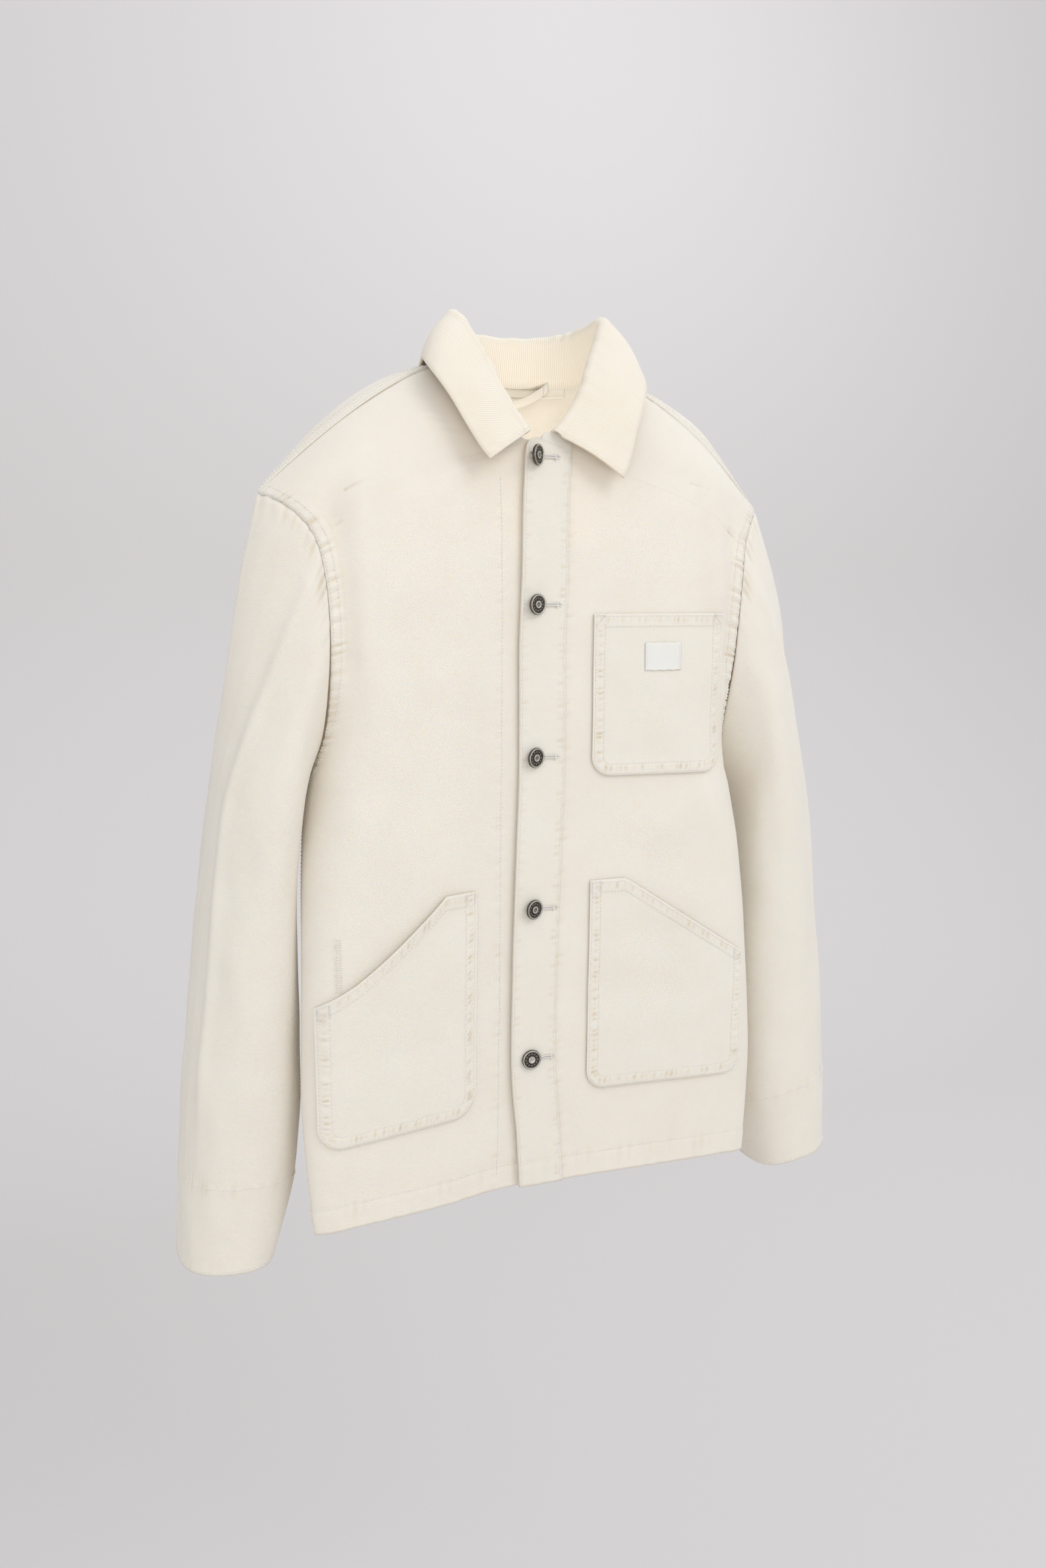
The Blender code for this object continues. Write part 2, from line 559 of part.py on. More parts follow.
def sleeve_net(side, armhole):
    """Rings down a sleeve. Each is a rounded oval, and the first are drawn to the armhole's own
    points, so that the seams meet point to point. Returns (ring point, ring) points."""
    lengths = np.linalg.norm(np.diff(armhole, axis=0, append=armhole[:1]), axis=1)
    front = len(FRONT_ARMHOLE) - 1
    turn = np.empty(len(armhole))
    turn[: front + 1] = math.pi * np.append(0, lengths[:front].cumsum()) / lengths[:front].sum()
    back = lengths[front:].cumsum() / lengths[front:].sum()
    turn[front + 1 :] = math.pi * (1 + back[:-1])
    at = np.linspace(0, 1, SLEEVE_RINGS)[None, :] ** 0.92
    names = ("x_out", "z_out", "x_in", "z_in", "y_mid", "half_depth", "square")
    x_out, z_out, x_in, z_in, y_mid, depth, power = read(SLEEVE, at, *names)

    slid = turn[:, None] - CAP_SLIDE * np.sin(turn)[:, None] * np.clip(at / 0.35, 0, 1)

    def rings(turn, x_out, z_out, x_in, z_in, y_mid, depth, power):
        c, s = np.cos(turn), np.sin(turn)
        c = np.sign(c) * np.abs(c) ** (2 / power)
        s = np.sign(s) * np.abs(s) ** (2 / power)
        x = (x_out + x_in) / 2 + (x_out - x_in) / 2 * c
        z = (z_out + z_in) / 2 + (z_out - z_in) / 2 * c
        return np.stack([x, y_mid - depth * s, z + 0 * s], -1)

    points = rings(slid, x_out, z_out, x_in, z_in, y_mid, depth, power)
    first = rings(turn[:, None], *(SLEEVE[name][0] for name in names))
    ease = np.clip(1 - at / CAP_EASE, 0, 1)
    ease = (ease**2 * (3 - 2 * ease))[..., None]
    mirror = np.array([-1.0 if side == "right" else 1.0, 1, 1])
    points = points + ease * (armhole[:, None] * mirror - first)
    outwards, back, tilt = read(SWING, at, side + "_x", side + "_y", side + "_tilt")
    outer = (1 + np.cos(slid)) / 2
    points = points + np.stack(np.broadcast_arrays(outwards, back, tilt * outer), -1)
    along, down = slopes(points, closed=True)
    normal = unit(np.cross(along, down))
    degrees = np.degrees(turn)[:, None]
    folds = [fold + (140.0,) for fold in SLEEVE_FOLDS]
    rise = ridge(degrees, at, folds) * np.clip(at / 0.05, 0, 1) * np.clip((1 - at) / 0.05, 0, 1)
    return (points + normal * rise[..., None]) * mirror


# ---- Seams ----


def own_normals(net, closed, flip):
    """Outward normals of a net, weighted by the cells round each point."""
    nu, nv = net.shape[:2]
    i = np.arange(nu if closed else nu - 1)[:, None]
    k, j = (i + 1) % nu, np.arange(nv - 1)[None, :]
    face = np.cross(net[k, j + 1] - net[i, j], net[i, j + 1] - net[k, j])
    if flip:
        face = -face
    total = np.zeros_like(net)
    for a in (i, k):
        for b in (j, j + 1):
            at = np.broadcast_arrays(a, b)
            np.add.at(total, tuple(at), face)
    return unit(total)


def shared_normals(nets, own):
    """Normals averaged where points of different nets coincide, so that walls meet in a mitre."""
    points = np.concatenate([net.reshape(-1, 3) for net in nets])
    _, index = np.unique(np.round(points, 6), axis=0, return_inverse=True)
    index = index.reshape(-1)
    total = np.zeros((index.max() + 1, 3))
    np.add.at(total, index, np.concatenate([normal.reshape(-1, 3) for normal in own]))
    shared = unit(total[index])
    ends = np.cumsum([len(net.reshape(-1, 3)) for net in nets])[:-1]
    return [part.reshape(net.shape) for part, net in zip(np.split(shared, ends), nets)]


def edges_of(net, closed):
    """Index pairs of a net's edges and of the rows of points next to them."""
    edges = [(np.s_[:, 0], np.s_[:, 1]), (np.s_[:, -1], np.s_[:, -2])]
    if not closed:
        edges += [(np.s_[0], np.s_[1]), (np.s_[-1], np.s_[-2])]
    return edges


def wall_nets(net, own, shared, closed):
    """Outer and inner nets of a wall. Each edge is drawn in by half a seam's gap. The wall
    stands on the shared normals, but on its own ones where a seam lies in a valley."""
    normal, thick = shared.copy(), np.full(net.shape[:2], TWILL)
    outer = net.copy()
    for edge, inside in edges_of(net, closed):
        rise = np.sum(unit(net[inside] - net[edge]) * shared[edge], -1)
        valley = np.clip((rise - 0.1) / 0.3, 0, 1)[..., None]
        normal[edge] = unit(normal[edge] * (1 - valley) + own[edge] * valley)
        level = np.sum(normal[edge] * own[edge], -1)
        thick[edge] = np.maximum(thick[edge], TWILL / np.maximum(level, 0.65))
        if closed:
            tangent = np.roll(net[edge], -1, 0) - np.roll(net[edge], 1, 0)
        else:
            tangent = np.gradient(net[edge], axis=0)
        across = unit(np.cross(shared[edge], tangent))
        towards = np.sign(np.sum(across * (net[inside] - net[edge])))
        outer[edge] += across * towards * SEAM / 2
    return outer, outer - normal * thick[..., None]


# ---- Pieces ----


def add_body(materials):
    """Both fronts, the back and the sleeves, and what lies along the neck."""
    u = front_columns(FRONT_STATIONS)
    fronts = {side: front_net(side, u, FRONT_STATIONS[None, :]) for side in ("right", "left")}
    back = back_net(back_columns()[:, None], BACK_STATIONS[None, :])
    sleeves = {}
    for side in ("right", "left"):
        front_side = fronts[side][-1, FRONT_ARMHOLE][::-1]
        back_side = back[-1 if side == "left" else 0, BACK_ARMHOLE]
        armhole = np.concatenate([front_side, back_side[1:-1]])
        sleeves[side] = sleeve_net(side, armhole)
    nets = {
        "front_right": (fronts["right"], False, True),
        "front_left": (fronts["left"], False, False),
        "back": (back, False, True),
        "sleeve_right": (sleeves["right"], True, True),
        "sleeve_left": (sleeves["left"], True, False),
    }
    own = [own_normals(*net) for net in nets.values()]
    shared = shared_normals([net for net, _, _ in nets.values()], own)
    normals = dict(zip(nets, shared))
    for (name, (net, closed, flip)), own_normal in zip(nets.items(), own):
        outer, inner = wall_nets(net, own_normal, normals[name], closed)
        if flip:
            outer, inner = outer[::-1], inner[::-1]
        add_wall(name, outer, inner, materials["twill"], closed)
    add_placket(fronts["left"], normals["front_left"], materials["twill"])
    neck = np.concatenate(
        [
            fronts["right"][0, FRONT_NECK],
            back[FRONT_COLUMNS + 1 : -FRONT_COLUMNS - 1, -1],
            fronts["left"][0, FRONT_NECK][::-1],
        ]
    )
    frame = np.concatenate(
        [
            normals["front_right"][0, FRONT_NECK],
            normals["back"][FRONT_COLUMNS + 1 : -FRONT_COLUMNS - 1, -1],
            normals["front_left"][0, FRONT_NECK][::-1],
        ]
    )
    add_collar(neck, frame, materials["cord"])


def add_placket(front, normal, material):
    """The button band: the left front's first columns, moved out over it."""
    rows = FRONT_STATIONS <= EDGE_TOP
    edge, far = front[0, rows], front[2, rows]
    share = PLACKET_WIDTH / np.linalg.norm(far - edge, axis=1, keepdims=True)
    steps = np.array([0.0, 0.5, 1.0])[:, None, None]
    net = edge + (far - edge) * share * steps
    out = unit(normal[0, rows] + normal[1, rows])
    under = net + out * SEAM
    add_wall("placket", under + out * TWILL, under, material)


def collar_sections(neck, frame):
    """The collar's face, from the neck seam up inside the stand, over the roll and down to the
    outer edge, one row of points for each point of the neck."""
    front_at = np.linspace(0, SIDE_NECK, len(FRONT_NECK))
    back_at = np.linspace(SIDE_NECK, 1, NECK_COLUMNS + 1)[1:]
    at = np.concatenate([front_at, back_at])
    sides = []
    for sign in (-1, 1):
        lines = []
        for part in ("roll", "edge"):
            line, shift = neck_point(at, part)
            lines.append(line * [sign, 1, 1] + np.outer(shift, [1, 0, 0]))
        lines[1][:, 2] -= sign * read(NECK, at, "lift")
        sides.append(lines if sign < 0 else [line[:-1][::-1] for line in lines])
    roll, edge = (np.concatenate([sides[0][k], sides[1][k]]) for k in (0, 1))
    along = unit(np.gradient(neck, axis=0))
    beyond = unit(np.cross(along, frame))
    seam_out = neck + beyond * SEAM
    seam_out[[0, -1], 2] += 0.002
    seam_in = seam_out - frame * CORD_CLOTH
    to_seam, to_edge = unit(seam_in - roll), unit(edge - roll)
    top = -unit(to_seam + to_edge)
    tangent = np.gradient(roll, axis=0)
    inward = unit(np.cross(tangent, top))
    inward *= np.sign(np.sum(inward * (to_seam - to_edge), -1, keepdims=True))
    centre = roll - top * ROLL_RADIUS
    face = [seam_in]
    turned_in = centre + inward * ROLL_RADIUS
    face.append(seam_in + (turned_in - seam_in) * 0.5)
    for angle in (0, 45, 90, 135, 180):
        a = math.radians(angle)
        face.append(centre + ROLL_RADIUS * (inward * math.cos(a) + top * math.sin(a)))
    start = face[-1]
    outward = unit(np.cross(edge - start, tangent))
    outward *= np.sign(np.sum(outward * -inward, -1, keepdims=True))
    for share in (0.3, 0.6, 0.85, 1.0):
        bow = LEAF_BOW * math.sin(math.pi * share)
        face.append(start + (edge - start) * share + outward * bow)
    return np.stack(face, 1), seam_out


def add_collar(neck, frame, material):
    """The collar: one folded wall that stands on the neck seam."""
    face, seam_out = collar_sections(neck, frame)
    along, up = slopes(face)
    normal = unit(np.cross(up, along))
    inner = face - normal * CORD_CLOTH
    inner[:, 0] = seam_out
    if np.sum((inner[:, 5] - face[:, 5])[:, 2]) > 0:
        inner = face + normal * CORD_CLOTH
        inner[:, 0] = seam_out
    add_wall("collar", face, inner, material)


def pocket_net(x_sides, top, bottom, radius, columns, rows):
    """Shares and heights of a pocket's columns, whose lower corners are rounded."""
    inner, outer = x_sides
    corner = radius * (1 - np.cos(np.radians([0, 40, 70, 90])))
    middle = np.linspace(inner + radius, outer - radius, columns - 5)[1:-1]
    x = np.concatenate([inner + corner, middle, (outer - corner)[::-1]])
    near = np.minimum(x - inner, outer - x).clip(0, radius)
    lift = radius - np.sqrt(radius**2 - (radius - near) ** 2)
    low = bottom(x) + lift
    high = top(x)
    share = np.linspace(0, 1, rows)
    return x[:, None] + 0 * share, low[:, None] + (high - low)[:, None] * share


def add_pocket(name, side, inner, outer, mouth_flat, mouth_high, mouth_low, bottom_inner,
               bottom_outer, radius, gape, hollow, material):
    """A patch pocket: points of its front moved out, more so at a mouth that gapes."""
    slope_start = inner + mouth_flat

    def top(x):
        share = np.clip((x - slope_start) / max(outer - slope_start, 1e-6), 0, 1)
        sag = hollow * np.sin(math.pi * share)
        return mouth_high + (mouth_low - mouth_high) * share - sag

    def bottom(x):
        return bottom_inner + (bottom_outer - bottom_inner) * (x - inner) / (outer - inner)

    x, z = pocket_net((inner, outer), top, bottom, radius, 12, 9)
    points, normal = on_front(side, x, z)
    share = np.clip((x - inner) / (outer - inner), 0, 1)
    open_by = gape * np.sin(math.pi * share**1.3) * np.exp(-(top(x) - z) / 0.025)
    under = points + normal * (ON_PANEL + open_by)[..., None]
    outer_net = under + normal * TWILL
    if side == "right":
        under, outer_net = under[::-1], outer_net[::-1]
    add_wall(name, outer_net, under, material)
    return x, z, points, normal


def add_label(material):
    """The small woven label, flat on the chest pocket."""
    x = np.linspace(*LABEL["x"], 4)[:, None] + np.zeros(4)
    z = np.linspace(*LABEL["z"], 4)[None, :] + 0 * x
    points, normal = on_front("left", x, z)
    under = points + normal * (ON_PANEL + TWILL + ON_PANEL / 2)
    add_wall("label", under + normal * LABEL_WALL, under, material)


def button_profile(shank):
    """Half section of a button, down its outer side: raised centre, sunk ring, rim, and the
    shank, which ends over the cloth."""
    r, h = BUTTON_RADIUS, BUTTON_HEIGHT
    return [
        (0.0, h * 0.93), (r * 0.36, h * 0.93), (r * 0.40, h * 0.66), (r * 0.80, h * 0.66),
        (r * 0.84, h * 0.95), (r * 0.94, h * 0.95), (r, h * 0.62), (r * 0.97, 0.0),
        (SHANK_RADIUS, 0.0), (SHANK_RADIUS, -shank), (0.0, -shank),
    ]


def add_button(name, z, turn, tip, material):
    """A shank button on the placket, its profile turned about its own axis by a Screw. The
    further it is turned aside, the higher it stands, on its rim's lowest point."""
    points, normal = on_front("left", np.array([[CENTRE_LINE]]), np.array([[z]]))
    face = normal[0, 0]
    yaw = math.atan2(face[0], -face[1]) + math.radians(turn)
    axis = unit(np.array([math.sin(yaw), -math.cos(yaw), -math.sin(math.radians(tip))]))
    tilt = math.acos(min(1.0, float(axis @ face)))
    height = max(BUTTON_STAND, BUTTON_RADIUS * math.sin(tilt) + 0.0006)
    shank = (height - SHANK_RADIUS * math.sin(tilt) - SEAM) / math.cos(tilt)
    profile = button_profile(shank)
    mesh = bpy.data.meshes.new(name)
    edges = [(i, i + 1) for i in range(len(profile) - 1)]
    mesh.from_pydata([(x, 0, level) for x, level in profile], edges, [])
    mesh.materials.append(material)
    made = bpy.data.objects.new(name, mesh)
    screw = made.modifiers.new("turned", "SCREW")
    screw.steps = screw.render_steps = TURNED_STEPS
    screw.use_merge_vertices = True
    screw.merge_threshold = 0.0001
    made.rotation_mode = "QUATERNION"
    made.rotation_quaternion = Vector(axis).to_track_quat("Z", "Y")
    made.location = points[0, 0] + face * (SEAM + TWILL + height)
    jacket.objects.link(made)


def add_hanger_loop(material):
    """The hanger loop: a flat strip whose ends lie against the collar's stand at its seam."""
    share = np.linspace(0, 1, 15)
    x = LOOP["ends"][0] + (LOOP["ends"][1] - LOOP["ends"][0]) * share
    hang = np.sin(math.pi * share) ** 0.8
    seam, _ = neck_point(np.interp(np.abs(x), NECK["seam_x"][:3:-1], NECK["at"][:3:-1]), "seam")
    line = np.stack([x, seam[:, 1], seam[:, 2] + LOOP["rise"] - LOOP["sag"] * hang], -1)
    forward = unit(np.cross(np.gradient(line, axis=0), np.array([0, 0, 1.0])))
    forward *= np.sign(-forward[:, 1:2])
    high = line + forward * (LOOP["inset"] + 0.002 * hang)[:, None]
    low = high - forward * 0.001 - np.outer(LOOP["width"] * (1 - 0.15 * hang), [0, 0, 1])
    strip = np.stack([low, high], 1)
    add_wall("hanger_loop", strip + forward[:, None] * TWILL, strip, material)


def make_material(name, colour, roughness, metallic=0.0):
    material = bpy.data.materials.new(name)
    material.use_nodes = True
    shader = material.node_tree.nodes["Principled BSDF"]
    shader.inputs["Base Color"].default_value = (*colour, 1)
    shader.inputs["Roughness"].default_value = roughness
    shader.inputs["Metallic"].default_value = metallic
    return material


for stale in list(bpy.data.objects):
    bpy.data.objects.remove(stale)
jacket = bpy.data.collections.new("chore_jacket")
bpy.context.scene.collection.children.link(jacket)

MATERIALS = {
    "twill": make_material("ecru_twill", (0.84, 0.79, 0.69), 0.9),
    "cord": make_material("ribbed_cord", (0.83, 0.75, 0.60), 0.9),
    "label": make_material("woven_label", (0.90, 0.89, 0.85), 0.8),
    "metal": make_material("aged_nickel", (0.30, 0.28, 0.25), 0.35, 1.0),
}

add_body(MATERIALS)
for pocket_name, pocket in POCKETS.items():
    add_pocket(pocket_name, material=MATERIALS["twill"], **pocket)
add_label(MATERIALS["label"])
for number, (height, turned, tipped) in enumerate(zip(*BUTTONS.values()), start=1):
    add_button(f"button_{number}", height, turned, tipped, MATERIALS["metal"])
add_hanger_loop(MATERIALS["twill"])
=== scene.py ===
import math
from functools import partial

import bmesh
import bpy
import numpy as np
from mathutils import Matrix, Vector


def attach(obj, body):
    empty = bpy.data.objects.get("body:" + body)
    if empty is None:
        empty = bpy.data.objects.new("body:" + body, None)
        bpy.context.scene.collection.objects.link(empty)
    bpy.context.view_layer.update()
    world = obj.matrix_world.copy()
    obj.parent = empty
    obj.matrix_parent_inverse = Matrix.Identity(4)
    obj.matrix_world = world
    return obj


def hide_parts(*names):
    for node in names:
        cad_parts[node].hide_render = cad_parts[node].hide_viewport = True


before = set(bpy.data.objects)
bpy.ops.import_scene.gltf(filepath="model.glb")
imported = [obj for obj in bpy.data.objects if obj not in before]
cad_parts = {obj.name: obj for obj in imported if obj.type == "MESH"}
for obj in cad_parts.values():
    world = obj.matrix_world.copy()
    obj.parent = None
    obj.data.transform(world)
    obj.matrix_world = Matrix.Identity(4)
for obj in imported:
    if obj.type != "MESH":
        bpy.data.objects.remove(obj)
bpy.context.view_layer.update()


# ---- The studio ----
# A plain pale floor that curves up into a backdrop, soft lights from above and in front, and a
# camera at chest height, a little to the wearer's right. None of it belongs to the jacket.

HEADING, DIP = math.radians(24.2), math.radians(8.27)
FLOOR_DROP, FLOOR_REACH, FLOOR_BEND, FLOOR_HALF = 1.5, 1.6, 1.4, 7
COOL_LIGHT = (0.93, 0.955, 1.0)

aim = (math.sin(HEADING) * math.cos(DIP), math.cos(HEADING) * math.cos(DIP), -math.sin(DIP))
camera = bpy.data.objects.new("camera", bpy.data.cameras.new("camera"))
camera.location = (-0.478, -1.047, -0.185)
camera.rotation_mode = "QUATERNION"
camera.rotation_quaternion = Vector(aim).to_track_quat("-Z", "Y")
camera.data.lens = 29.8
camera.data.sensor_width = 36.0
camera.data.clip_start, camera.data.clip_end = 0.05, 50.0
bpy.context.scene.collection.objects.link(camera)
bpy.context.scene.camera = camera
bpy.context.scene.view_settings.view_transform = "Standard"


def quad_mesh(name, points, corners, flat=None):
    """A mesh from a list of points and four corner numbers for each face, with flat as the UV
    of every corner."""
    mesh = bpy.data.meshes.new(name)
    mesh.vertices.add(len(points))
    mesh.vertices.foreach_set("co", np.ascontiguousarray(points, np.float32).reshape(-1))
    mesh.loops.add(len(corners))
    mesh.loops.foreach_set("vertex_index", corners.astype(np.int32))
    mesh.polygons.add(len(corners) // 4)
    mesh.polygons.foreach_set("loop_start", np.arange(0, len(corners), 4, dtype=np.int32))
    mesh.update(calc_edges=True)
    if flat is not None:
        layer = mesh.uv_layers.new(name="cut")
        layer.uv.foreach_set("vector", np.ascontiguousarray(flat, np.float32).reshape(-1))
    mesh.shade_smooth()
    mesh.validate()
    made = bpy.data.objects.new(name, mesh)
    bpy.context.scene.collection.objects.link(made)
    return made


def grid_mesh(name, points, closed=False, uv=None):
    """A surface through a grid of points (across, up, 3): corner (i, j) joins (i + 1, j),
    (i + 1, j + 1) and (i, j + 1). Closed, its last column joins its first."""
    across, up = points.shape[:2]
    i = np.arange(across if closed else across - 1)[:, None]
    j = np.arange(up - 1)[None, :]

    def face(right):
        """The four corners of every face, between its own column and the one on its right."""
        return np.stack([i * up + j, right * up + j, right * up + j + 1, i * up + j + 1], -1)

    corners = face((i + 1) % across).reshape(-1)
    flat = None
    if uv is not None:
        wrapped = np.concatenate([uv, 2 * uv[-1:] - uv[-2:-1]]) if closed else uv
        flat = wrapped.reshape(-1, 2)[face(i + 1).reshape(-1)]
    return quad_mesh(name, points.reshape(-1, 3), corners, flat)


def backdrop_sheet(across, along):
    """Floor and backdrop: level up to y = reach, then an arc of radius bend, then upright. With s
    the length past the reach: y = reach + bend sin(s / bend), z = bend (1 - cos(s / bend))."""
    run = -5.0 + 12.0 * along
    quarter = FLOOR_BEND * math.pi / 2
    past = np.clip(run - FLOOR_REACH, 0, quarter)
    x = -FLOOR_HALF + 2 * FLOOR_HALF * across
    y = np.minimum(run, FLOOR_REACH) + FLOOR_BEND * np.sin(past / FLOOR_BEND)
    z = FLOOR_BEND * (1 - np.cos(past / FLOOR_BEND))
    z = z + np.maximum(run - FLOOR_REACH - quarter, 0) - FLOOR_DROP
    return np.stack(np.broadcast_arrays(x, y, z), -1)


def shaded(name, sockets):
    """A new material with its shader's own sockets set: the material, its nodes and the shader."""
    made = bpy.data.materials.new(name)
    made.use_nodes = True
    shader = made.node_tree.nodes["Principled BSDF"]
    for socket, value in sockets.items():
        shader.inputs[socket].default_value = value
    return made, made.node_tree, shader


floor = grid_mesh(
    "studio_floor", backdrop_sheet(np.linspace(0, 1, 9)[:, None], np.linspace(0, 1, 97)[None, :])
)
paper, _, _ = shaded(
    "floor_paper",
    {"Base Color": (0.680, 0.647, 0.624, 1), "Roughness": 0.95, "Specular IOR Level": 0.1},
)
floor.data.materials.append(paper)

world = bpy.data.worlds.new("studio_air")
world.use_nodes = True
air = world.node_tree.nodes["Background"]
air.inputs["Color"].default_value = (0.915, 0.945, 1.0, 1)
air.inputs["Strength"].default_value = 0.94
bpy.context.scene.world = world


def soft_light(name, at, towards, size, power, colour=COOL_LIGHT):
    """A square area light of side size at a point, turned to face another."""
    lamp = bpy.data.lights.new(name, "AREA")
    lamp.shape, lamp.size, lamp.energy, lamp.color = "SQUARE", size, power, colour
    made = bpy.data.objects.new(name, lamp)
    made.location = at
    made.rotation_mode = "QUATERNION"
    made.rotation_quaternion = (Vector(towards) - Vector(at)).to_track_quat("-Z", "Y")
    bpy.context.scene.collection.objects.link(made)


soft_light("key_light", (0.9, -2.2, 1.5), (0, 0, -0.3), 1.3, 18)
soft_light("front_light", (-0.95, -2.15, -0.1), (-0.03, 0, -0.15), 1.0, 10.5)
soft_light("back_light", (1.5, 0.9, 1.9), (1.7, 2.6, 0.2), 1.6, 20)
soft_light(
    "neck_light", (0.005, 0.010, -0.175), (0.005, 0.080, -0.020), 0.05, 0.21, (0.95, 0.965, 1.0)
)


# ---- Both fronts ----
# The fronts are cream cotton twill, cut straight down and turned round the wearer's sides. The
# left one laps over the right. Each is hemmed at the foot, and the seams are topstitched.

TWILL_WALL = 0.0015
SEAM_GAP = 0.0004
BODY_LEAN = 0.009
BUTTON_LINE = -0.0153
BAND_WIDTH, UNDER_BAND, TOP_CORNER = 0.042, 0.044, 0.014
HEM_STITCH, HEM_FOLD = 0.0225, 0.0245
SEAM_STITCHES = (0.0025, 0.0090)
SIDE_NECK, NECK_SHARE, FRONT_FLAT = 0.5, 0.3, 0.6
UNDERARM, EDGE_TOP, NECK_START, FRONT_TOP = 5, 10, 11, 13
FRONT_WIDTH = 0.31


def table(names, *rows):
    """Named columns from rows of numbers."""
    return {name: np.array(column, float) for name, column in zip(names.split(), zip(*rows))}


front_cut = table(
    "z_edge  y_edge  y_flat  over     x_side  y_side  z_side  corner  turn",
    (-0.711, -0.040, -0.046, -0.0230, 0.2160, -0.034, -0.720, 0.024, 1.00),
    (-0.660, -0.042, -0.048, -0.0268, 0.2210, -0.030, -0.662, 0.028, 1.00),
    (-0.600, -0.043, -0.050, -0.0325, 0.2225, -0.026, -0.600, 0.032, 1.00),
    (-0.500, -0.044, -0.051, -0.0325, 0.2170, -0.019, -0.500, 0.036, 1.00),
    (-0.410, -0.044, -0.052, -0.0300, 0.2090, -0.008, -0.410, 0.042, 1.00),
    (-0.345, -0.044, -0.052, -0.0280, 0.1990, 0.0120, -0.345, 0.056, 1.00),
    (-0.285, -0.044, -0.052, -0.0280, 0.1920, -0.018, -0.300, 0.062, 0.80),
    (-0.225, -0.044, -0.052, -0.0285, 0.1905, -0.036, -0.250, 0.066, 0.50),
    (-0.165, -0.044, -0.050, -0.0265, 0.1915, -0.042, -0.205, 0.066, 0.35),
    (-0.110, -0.042, -0.047, -0.0252, 0.1950, -0.041, -0.168, 0.066, 0.25),
    (-0.060, -0.038, -0.042, -0.0215, 0.2010, -0.035, -0.140, 0.066, 0.20),
    (-0.056, -0.038, -0.036, -0.0215, 0.2130, -0.024, -0.121, 0.064, 0.15),
    (-0.028, -0.026, -0.022, -0.0215, 0.2270, -0.008, -0.109, 0.062, 0.10),
    (0.0050, 0.0100, 0.0100, -0.0215, 0.2360, 0.0080, -0.104, 0.060, 0.05),
)
right_tuck = (0.0060, 0.0060, 0.0050, 0.0030, -0.0010, -0.0020, 0.0, 0.0)
neck_cut = table(
    "at seam_x seam_y seam_z roll_x roll_y roll_z edge_x edge_y edge_z aside edge_aside drop",
    (0.00, 0.0120, -0.0380, -0.0560, 0.0125, -0.0445, -0.0505,
     0.0605, -0.0600, -0.0815, -0.0100, -0.0030, 0.0055),
    (0.12, 0.0310, -0.0340, -0.0450, 0.0265, -0.0390, -0.0330,
     0.0680, -0.0560, -0.0700, -0.0075, -0.0025, 0.0040),
    (0.25, 0.0510, -0.0260, -0.0280, 0.0395, -0.0310, -0.0090,
     0.0780, -0.0520, -0.0480, -0.0045, -0.0045, 0.0020),
    (0.37, 0.0680, -0.0100, -0.0090, 0.0520, -0.0170, 0.0210,
     0.0885, -0.0440, -0.0250, -0.0020, -0.0040, 0.0),
    (0.50, 0.0790, 0.0100, 0.0050, 0.0680, -0.0020, 0.0525,
     0.1000, -0.0200, 0.0010, 0.0, -0.0015, 0.0),
    (0.62, 0.0780, 0.0350, 0.0060, 0.0640, 0.0220, 0.0490,
     0.0905, 0.0170, 0.0120, 0.0, 0.0, 0.0),
    (0.74, 0.0640, 0.0590, 0.0050, 0.0560, 0.0470, 0.0460,
     0.0790, 0.0580, 0.0060, 0.0, 0.0, 0.0),
    (0.87, 0.0360, 0.0750, 0.0040, 0.0330, 0.0660, 0.0435,
     0.0500, 0.0860, -0.0010, 0.0, 0.0, 0.0),
    (1.00, 0.0, 0.0800, 0.0040, 0.0, 0.0720, 0.0425,
     0.0, 0.0990, -0.0020, 0.0, 0.0, 0.0),
)
front_folds = {
    "right": (
        (0.188, -0.110, 0.178, -0.250, 0.011, -0.0045),
        (0.163, -0.070, 0.164, -0.270, 0.013, 0.0040),
        (0.100, -0.440, 0.195, -0.330, 0.026, 0.0030),
    ),
    "left": (
        (0.158, -0.080, 0.166, -0.200, 0.013, 0.0040),
        (0.186, -0.120, 0.180, -0.260, 0.011, -0.0040),
        (0.090, -0.400, 0.195, -0.350, 0.024, 0.0025),
    ),
}


def curve(knots, values, at):
    """Cubic pieces through values at rising knots, sharing slopes: with t from 0 to 1 along a
    piece, v0 (2t3 - 3t2 + 1) + v1 (3t2 - 2t3) + d (s0 (t3 - 2t2 + t) + s1 (t3 - t2))."""
    knots, values, at = (np.asarray(a, float) for a in (knots, values, at))
    slope = np.gradient(values, knots)
    i = np.clip(np.searchsorted(knots, at, side="right") - 1, 0, len(knots) - 2)
    step = knots[i + 1] - knots[i]
    t = (at - knots[i]) / step
    return (
        values[i] * (2 * t**3 - 3 * t**2 + 1)
        + values[i + 1] * (3 * t**2 - 2 * t**3)
        + step * slope[i] * (t**3 - 2 * t**2 + t)
        + step * slope[i + 1] * (t**3 - t**2)
    )


def rows_of(cut):
    """The row numbers of a cutting table."""
    return np.arange(len(next(iter(cut.values()))))


def read(cut, at, *names):
    """Columns of a cutting table at places that may lie between its rows."""
    knots = cut["at"] if "at" in cut else rows_of(cut)
    found = [curve(knots, cut[name], at) for name in names]
    return found if len(found) > 1 else found[0]


